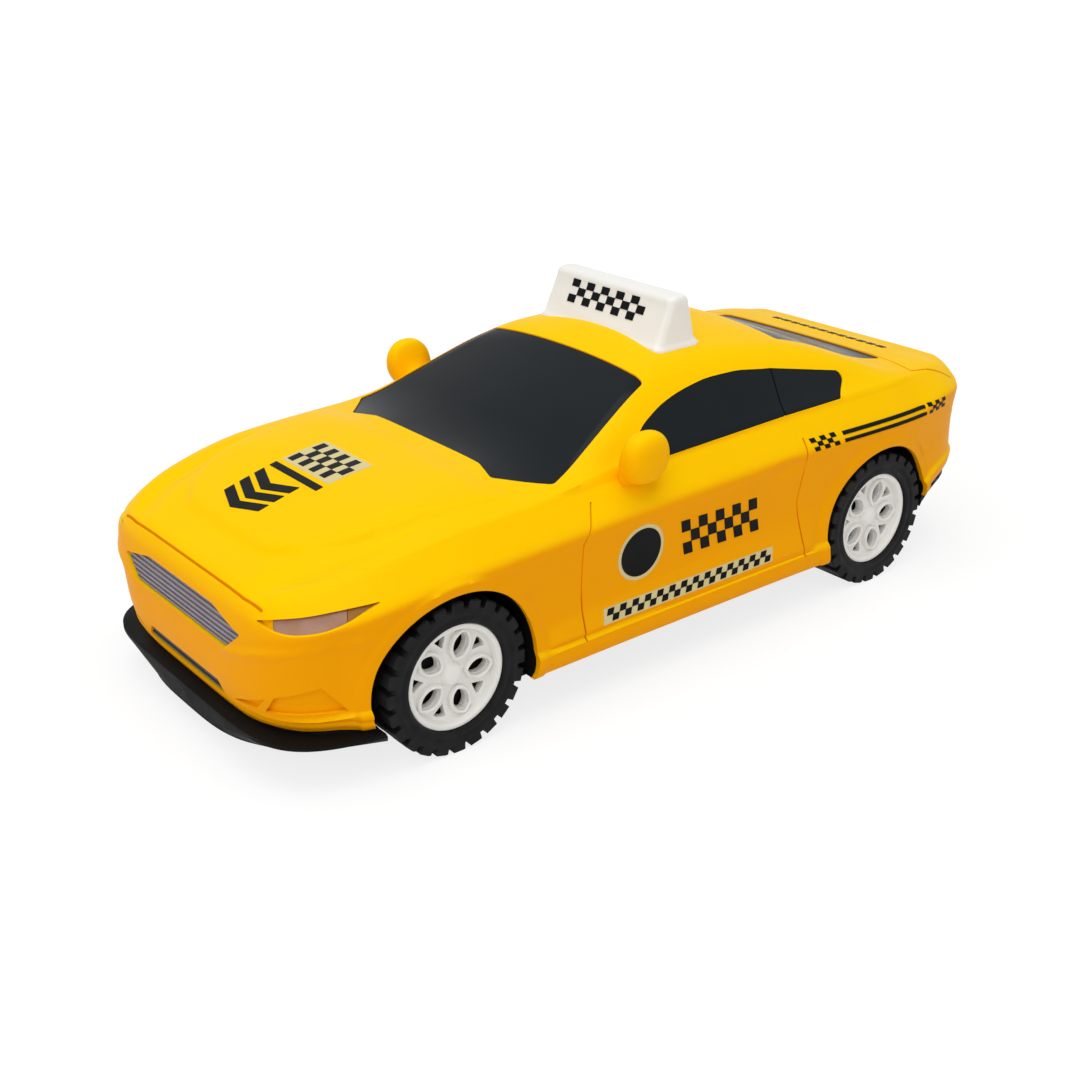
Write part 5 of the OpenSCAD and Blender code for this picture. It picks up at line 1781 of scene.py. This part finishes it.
@dataclass
class Decals:
    """Stickers on the doors, quarters, hood, boot and sign, laid on the surface under them."""

    shell: bpy.types.Object
    sign: bpy.types.Object
    thickness: float = 0.08
    root: float = 0.25
    away: float = 500
    trees: dict[str, BVHTree] = field(default_factory=dict)
    # Flanks, in places along the car and heights
    strip: Rows = ((-26.5, 19.5), (32.8, 19.5), (32.2, 23.5), (-27.1, 23.5))
    flank_bands: Sequence[Band] = (
        Band((-25.6, 19.9), (2.06, 0), (-0.6, 1.6), (28, 2)),
        Band((-22, 29.5), (3, 0.06), (0.75, 3.3), (9, 3)),
        Band((-50, 47.3), (1.9, 0.02), (0.3, 1.05), (5, 3)),
        Band((-99.5, 46.6), (1.9, 0.04), (0.3, 1.05), (5, 3)),
    )
    disc_at: Pair = (20.1, 35.2)
    disc_r: float = 6.5
    disc_border: float = 1
    disc_rings: int = 6
    disc_steps: int = 48
    stripe_ends: Rows = ((-88, 46.9), (-52, 47.3))
    stripe_rows: Rows = ((0.1, 1), (1.9, 2.8))
    # Hood and boot, in plan; a rectangle is given by its lowest and highest corner
    hood_label: Rows = ((69, -13.5), (81.5, 8.5))
    hood_band: Band = Band((70, -12.5), (0, 2.5), (3.5, 0), (8, 3))
    hood_bar: Rows = ((83, -13.5), (85, 8.5))
    chevrons: int = 3
    chevron_at: Pair = (89.5, -5)
    chevron_pitch: float = 4.2
    chevron_t: float = 2.8
    chevron_arm: Pair = (-3, 8.5)
    dashes: int = 12
    dash: Rows = ((-1.1, -1.3), (1.1, 1.3))
    dash_start: Place = (-103, -20, 0)
    dash_step: Place = (0, 3.8, 0)
    # Sign, in places across the car and heights
    sign_band: Band = Band((-15, 79.4), (3, 0), (0, 2), (10, 3))

    def lay(
        self, obj: bpy.types.Object, onto: bpy.types.Object, axis: Axis, side: int, lift: float
    ) -> bpy.types.Object:
        """Lays a flat sheet onto a surface and gives it a thickness.

        Args:
            obj: Sheet drawn in the axis's first and second places.
            onto: Piece that it lies on.
            axis: Direction that it is laid along.
            side: 1 to come from the axis's far end, -1 from its near end.
            lift: How far its top stands over the surface.

        Returns:
            The sticker.
        """
        tree = self.trees.get(onto.name)
        if tree is None:
            work = bmesh.new()
            work.from_mesh(onto.data)
            tree = self.trees[onto.name] = BVHTree.FromBMesh(work)
            work.free()
        depth = axis.value[2]
        look = Vector((0, 0, 0))
        look[depth] = -side
        for vertex in obj.data.vertices:
            start = vertex.co.copy()
            start[depth] = side * self.away * MM
            hit, normal, _, _ = tree.ray_cast(start, look)
            vertex.co = hit + normal * lift * MM
        facing = obj.data.polygons[0].normal
        if facing.dot(-look) < 0:
            obj.data.flip_normals()
        thick = obj.modifiers.new("film", "SOLIDIFY")
        thick.thickness, thick.offset = (lift + self.root) * MM, -1
        return flatten(obj)

    def sheet(self, name: str, axis: Axis, corners: Rows, cells: tuple[int, int]) -> bpy.types.Object:
        """Draws a four-cornered sheet as a grid.

        Args:
            name: Name of the sheet.
            axis: Direction that the sheet is laid along.
            corners: Four corners in turn.
            cells: Cells from the first corner to the second, and to the fourth.

        Returns:
            The flat sheet.
        """
        a, b, c, d = (np.array(p, float) for p in corners)
        n, m = cells
        points = np.zeros(((n + 1) * (m + 1), 3))
        for k, (i, j) in enumerate(np.ndindex(n + 1, m + 1)):
            s, t = i / n, j / m
            points[k, axis.value[:2]] = (1 - s) * ((1 - t) * a + t * d) + s * ((1 - t) * b + t * c)
        k = m + 1
        starts = [i * k + j for i in range(n) for j in range(m)]
        return piece(name, (points, [(at, at + k, at + k + 1, at + 1) for at in starts]))

    def disc(self, name: str, axis: Axis, centre: Pair, radius: float) -> bpy.types.Object:
        """Draws a round sheet as rings round its middle.

        Args:
            name: Name of the sheet.
            axis: Direction that the sheet is laid along.
            centre: Its middle.
            radius: Its radius.

        Returns:
            The flat sheet.
        """
        rings, steps = self.disc_rings, self.disc_steps
        turns = np.radians(np.arange(steps) * 360 / steps)
        circle = np.stack((np.cos(turns), np.sin(turns)), 1)
        flat = [np.zeros((1, 2)), *(radius * k / rings * circle for k in range(1, rings + 1))]
        after = [(i + 1) % steps for i in range(steps)]
        faces: Faces = [(0, 1 + i, 1 + after[i]) for i in range(steps)]
        for k in range(rings - 1):
            low, high = 1 + k * steps, 1 + (k + 1) * steps
            faces += [(low + i, high + i, high + after[i], low + after[i]) for i in range(steps)]
        points = np.zeros((1 + rings * steps, 3))
        points[:, axis.value[:2]] = np.concatenate(flat) + centre
        return piece(name, (points, faces))

    def checks(self, axis: Axis, band: Band) -> list[bpy.types.Object]:
        """Sets out the black squares of a checker band, one row at a time.

        Args:
            axis: Direction that the sheet is laid along.
            band: The band.

        Returns:
            One sheet for each row.
        """
        columns, many_rows = band.count
        a, u = np.array(band.along, float), np.array(band.up, float)
        rows = []
        for row in range(many_rows):
            odd = row % 2
            square = self.sheet("square", axis, ((0, 0), a, a + u, u), (2, 2))
            start, step = np.zeros(3), np.zeros(3)
            start[list(axis.value[:2])] = np.array(band.corner) + row * u + odd * a
            step[list(axis.value[:2])] = 2 * a
            many = (columns - odd + 1) // 2
            rows.append(Repeat(Layout.ROW, many, tuple(start), tuple(step)).apply(square, Finishes.INK))
        return rows

    def stick(
        self,
        name: str,
        sheets: Sequence[bpy.types.Object],
        onto: bpy.types.Object,
        axis: Axis,
        side: int,
        finish: Finish,
    ) -> None:
        """Lays sheets of one colour as one sticker.

        Args:
            name: Name of the sticker.
            sheets: The flat sheets.
            onto: Piece that they lie on.
            axis: Direction that they are laid along.
            side: Which end of the axis they come from.
            finish: Film or print.
        """
        layers, slot = (2, "black_plastic") if finish is Finishes.INK else (1, "yellow_plastic")
        laid = [self.lay(sheet, onto, axis, side, layers * self.thickness) for sheet in sheets]
        settle(join(name, laid), finish, slot, Body.CAR)

    def flank(self, name: str, side: int) -> None:
        """Lays the stickers of one side.

        Args:
            name: "left" or "right".
            side: 1 for the left side, -1 for the right one.
        """
        film = [
            self.sheet("film", Axis.Y, self.strip, (60, 8)),
            self.disc("film", Axis.Y, self.disc_at, self.disc_r + self.disc_border),
        ]
        self.stick(f"door_film_{name}", film, self.shell, Axis.Y, side, Finishes.VINYL)
        ink = []
        for band in self.flank_bands:
            ink += self.checks(Axis.Y, band)
        ink.append(self.disc("ink", Axis.Y, self.disc_at, self.disc_r))
        (rear, rear_z), (front, front_z) = self.stripe_ends
        for low, high in self.stripe_rows:
            foot = ((rear, rear_z + low), (front, front_z + low))
            head = ((front, front_z + high), (rear, rear_z + high))
            ink.append(self.sheet("stripe", Axis.Y, (*foot, *head), (36, 1)))
        self.stick(f"door_print_{name}", ink, self.shell, Axis.Y, side, Finishes.INK)

    def top(self) -> None:
        """Lays the stickers of the hood and the boot."""
        film = [self.sheet("film", Axis.Z, rectangle(*self.hood_label), (12, 20))]
        self.stick("hood_film", film, self.shell, Axis.Z, 1, Finishes.VINYL)
        ink = self.checks(Axis.Z, self.hood_band)
        ink.append(self.sheet("bar", Axis.Z, rectangle(*self.hood_bar), (2, 20)))
        first, middle = self.chevron_at
        back, out = self.chevron_arm
        for k in range(self.chevrons):
            low = first + self.chevron_pitch * k
            high = low + self.chevron_t
            for sign in (-1, 1):
                tip = middle + sign * out
                corners = ((low, middle), (high, middle), (high + back, tip), (low + back, tip))
                ink.append(self.sheet("chevron", Axis.Z, corners, (3, 8)))
        dash = self.sheet("dash", Axis.Z, rectangle(*self.dash), (2, 3))
        row = Repeat(Layout.ROW, self.dashes, self.dash_start, self.dash_step)
        ink.append(row.apply(dash, Finishes.INK))
        self.stick("top_print", ink, self.shell, Axis.Z, 1, Finishes.INK)

    def board(self) -> None:
        """Lays a checker band on the front and back of the sign."""
        for side, name in ((1, "front"), (-1, "back")):
            ink = self.checks(Axis.X, self.sign_band)
            self.stick(f"sign_print_{name}", ink, self.sign, Axis.X, side, Finishes.INK)

    def build(self) -> None:
        """Lays all the stickers."""
        for name, side in SIDES.items():
            self.flank(name, side)
        self.top()
        self.board()


@dataclass
class Underside:
    """The chassis as a smooth copy with a round lip, and the drive, which keeps its CAD shapes."""

    shell: BodyShell
    lip_z: float = 5.6
    lip_h: float = 6.9
    lip_t: float = 7
    lip_edge: float = 1
    floor_t: float = 2
    back_x: float = 79.2
    cover: float = 0.1
    weld: float = 0.005
    # Reach and half width of the lip, as shares of the car's, and how square its corners are
    foot_shares: Pair = (0.992, 0.915)
    foot_power: float = 3.5
    top_shares: Pair = (1, 0.992)
    top_power: float = 6.3

    def plan(self, long: float, half: float, power: float) -> np.ndarray:
        """Draws the rounded plan of the lip.

        Args:
            long: Its reach ahead.
            half: Its half width.
            power: How square its corners are.

        Returns:
            The outline.
        """
        turns = np.radians(np.linspace(-80, 80, 161))
        x = long * np.cos(turns) ** (2 / power)
        y = np.sign(turns) * half * np.abs(np.sin(turns)) ** (2 / power)
        return np.stack((np.maximum(x, self.back_x), np.where(x > self.back_x, y, np.sign(y) * half)), 1)

    def lip(self) -> None:
        """Lays a finely rounded lip over the chassis's own."""
        s, c = self.shell.surface, self.cover
        foot_l, foot_w = s.half_l * self.foot_shares[0], s.half_w * self.foot_shares[1]
        top_l, top_w = s.half_l * self.top_shares[0], s.half_w * self.top_shares[1]
        low = self.plan(foot_l + c, foot_w + c, self.foot_power)
        high = self.plan(top_l + c / 2, top_w + c, self.top_power)
        top = self.lip_z + self.lip_h
        levels = [
            (self.lip_z - c / 2, low, 2 * c), (self.lip_z + c, low, 0), (self.lip_z + self.lip_edge, low, 0),
            (top - self.lip_edge, high, 0), (top - c, high, 0), (top, high, 2 * c),
        ]
        rings = []
        for z, plan, drop in levels:
            rings.append(np.insert(plan - drop * np.sign(plan - (self.back_x, 0)), 2, z, 1))
        lip = piece("front_lip", loft(rings))
        hollow = self.plan(foot_l - c, foot_w - self.lip_t - c, self.foot_power) - (self.lip_t, 0)
        combine(lip, piece("hollow", prism(hollow, Axis.Z, 0, top - self.floor_t)), Op.CUT)
        combine(lip, merge("arches", self.shell.arch_blocks(self.shell.arch_r)), Op.CUT)
        settle(shade(lip), Finishes.BLACK, "black_plastic", Body.CAR)

    def chassis(self) -> None:
        """Copies the chassis with its edges merged, so that its curved lip shades smoothly."""
        copy = linked("chassis_moulding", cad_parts["chassis_base"].data.copy())
        work = bmesh.new()
        work.from_mesh(copy.data)
        bmesh.ops.remove_doubles(work, verts=work.verts, dist=self.weld * MM)
        work.to_mesh(copy.data)
        work.free()
        settle(shade(copy, degrees=30), Finishes.BLACK, "black_plastic", Body.CAR, "chassis_base")

    def finish_of(self, node: str) -> Finish:
        """Chooses the finish of a node that stays, by the first listed word in its name.

        Args:
            node: Name of the node.

        Returns:
            Its finish.
        """
        finishes = {
            "screws": Finishes.STEEL,
            "gear_case": Finishes.CASE,
            "shaft": Finishes.STEEL,
            "axle": Finishes.STEEL,
            "flywheel_pinion": Finishes.GEAR,
            "flywheel": Finishes.CAST,
            "gear": Finishes.GEAR,
        }
        return next(finish for word, finish in finishes.items() if word in node)

    def build(self) -> None:
        """Dresses the chassis and every node that no piece stands for."""
        self.chassis()
        self.lip()
        for name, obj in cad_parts.items():
            if not obj.hide_render:
                obj.data.materials.clear()
                obj.data.materials.append(self.finish_of(name).material())
                LOG.info("%s keeps its CAD shape", name)


@dataclass
class Studio:
    """A white floor, soft light from above and the camera."""

    place: Place = (242.62, 290.12, 183.07)
    right: Place = (-0.78024, 0.62546, -0.00449)
    up: Place = (-0.25692, -0.31393, 0.91402)
    forward: Place = (-0.57027, -0.71432, -0.40564)
    lens: float = 48.76
    sensor: float = 36
    clip: Pair = (0.01, 20)
    target: Place = (0, 0, 0.03)
    world_strength: float = 0.34
    floor_half: float = 3
    floor_glow: float = 1.08
    shadow_reach: Pair = (0.15, 0.45)
    shadow_glow_share: float = 0.74
    # Name, place and side in metres, and power in watts
    lamps: Sequence[tuple[str, Place, float, float]] = (
        ("overhead", (0.1, 0.05, 0.9), 0.9, 5.2),
        ("key", (0.75, 0.55, 0.75), 0.5, 1.8),
        ("fill", (-0.35, 0.9, 0.4), 0.6, 1.1),
        ("front", (0.95, 0.1, 0.4), 0.5, 1.2),
    )

    def camera(self) -> None:
        """Sets the camera where the picture was taken from."""
        data = bpy.data.cameras.new("camera")
        data.lens, data.sensor_width = self.lens, self.sensor
        data.clip_start, data.clip_end = self.clip
        obj = linked("camera", data)
        back = [-v for v in self.forward]
        turned = Matrix((self.right, self.up, back)).transposed().to_4x4()
        obj.matrix_world = Matrix.Translation(Vector(self.place) * MM) @ turned
        bpy.context.scene.camera = obj

    def lamp(self, name: str, place: Place, size: float, watts: float) -> None:
        """Adds a soft lamp that looks at the car.

        Args:
            name: Name of the lamp.
            place: Where it hangs, in metres.
            size: Side of its square face, in metres.
            watts: Its power.
        """
        data = bpy.data.lights.new(name, "AREA")
        data.size, data.energy = size, watts
        obj = linked(name, data)
        obj.location = place
        obj.rotation_mode = "QUATERNION"
        obj.rotation_quaternion = (Vector(self.target) - Vector(place)).to_track_quat("-Z", "Y")

    def seen(self, tree: bpy.types.NodeTree) -> Any:
        """Adds the test for rays from the camera, mirrors and glass.

        Args:
            tree: Tree to add it to.

        Returns:
            The socket, 1 on such rays.
        """
        path = add_node(tree, "ShaderNodeLightPath", {}).outputs
        found = path["Is Camera Ray"]
        for ray in ("Is Glossy Ray", "Is Transmission Ray"):
            either = add_node(tree, "ShaderNodeMath", {0: found, 1: path[ray]}, operation="MAXIMUM")
            found = either.outputs[0]
        return found

    def world(self) -> None:
        """Makes the world white to look at and a plain soft light otherwise."""
        made = bpy.data.worlds.new("studio")
        tree = bare_tree(made)
        paint = linear("#ffffff")
        soft = add_node(tree, "ShaderNodeBackground", {"Color": paint, "Strength": self.world_strength})
        white = add_node(tree, "ShaderNodeBackground", {"Color": paint, "Strength": 1.0})
        mixed = {0: self.seen(tree), 1: soft.outputs[0], 2: white.outputs[0]}
        mix = add_node(tree, "ShaderNodeMixShader", mixed)
        add_node(tree, "ShaderNodeOutputWorld", {"Surface": mix.outputs[0]})
        bpy.context.scene.world = made

    def floor(self) -> None:
        """Lays a pale floor that keeps the car's shadow."""
        mesh = bpy.data.meshes.new("floor")
        half = self.floor_half
        corners = [(-half, -half, 0), (half, -half, 0), (half, half, 0), (-half, half, 0)]
        mesh.from_pydata(corners, [], [(0, 1, 2, 3)])
        obj = linked("floor", mesh)
        made = bpy.data.materials.new("pale_paper")
        tree = bare_tree(made)
        paper = add_node(tree, "ShaderNodeBsdfDiffuse", {"Color": linear("#f4f4f4")})
        glow = {"Color": linear("#ffffff"), "Strength": self.floor_glow}
        white = add_node(tree, "ShaderNodeEmission", glow)
        place = add_node(tree, "ShaderNodeTexCoord", {}).outputs["Object"]
        away = add_node(tree, "ShaderNodeVectorMath", {0: place}, operation="LENGTH").outputs["Value"]
        fade = add_node(
            tree,
            "ShaderNodeMapRange",
            {
                "Value": away,
                "From Min": self.shadow_reach[0],
                "From Max": self.shadow_reach[1],
                "To Min": self.shadow_glow_share,
                "To Max": 1.0,
            },
        )
        factors = {0: self.seen(tree), 1: fade.outputs[0]}
        share = add_node(tree, "ShaderNodeMath", factors, operation="MULTIPLY")
        mixed = {0: share.outputs[0], 1: paper.outputs[0], 2: white.outputs[0]}
        mix = add_node(tree, "ShaderNodeMixShader", mixed)
        add_node(tree, "ShaderNodeOutputMaterial", {"Surface": mix.outputs[0]})
        mesh.materials.append(made)

    def build(self) -> None:
        """Sets up the floor, the light and the camera."""
        bpy.context.scene.view_settings.view_transform = "Standard"
        self.floor()
        self.world()
        for lamp in self.lamps:
            self.lamp(*lamp)
        self.camera()


def axle_of(place: str) -> Pair:
    """Reads where an axle is from the frame.

    Args:
        place: "front" or "rear".

    Returns:
        Its place along the car and its height, in millimetres.
    """
    low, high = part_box(f"{place}_axle")
    middle = (low + high) / 2 / MM
    return middle.x, middle.z


def main() -> None:
    """Builds the toy piece by piece."""
    logging.basicConfig(level=logging.INFO, format="%(name)s: %(message)s")
    surface = BodySurface()
    (front_x, axle_z), (rear_x, _) = axle_of("front"), axle_of("rear")
    face_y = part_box("tyre_front_left")[1].y / MM
    shell = BodyShell(surface, (front_x, rear_x), axle_z)
    body = shell.build()
    Inserts(shell).build()
    sign = RoofSign(surface).build()
    DoorMirrors(surface).build()
    Wheel(front_x, axle_z, face_y).build("front", Body.FRONT)
    Wheel(rear_x, axle_z, face_y).build("rear", Body.REAR)
    Decals(body, sign).build()
    Underside(shell).build()
    Studio().build()


if __name__ == "__main__":
    main()
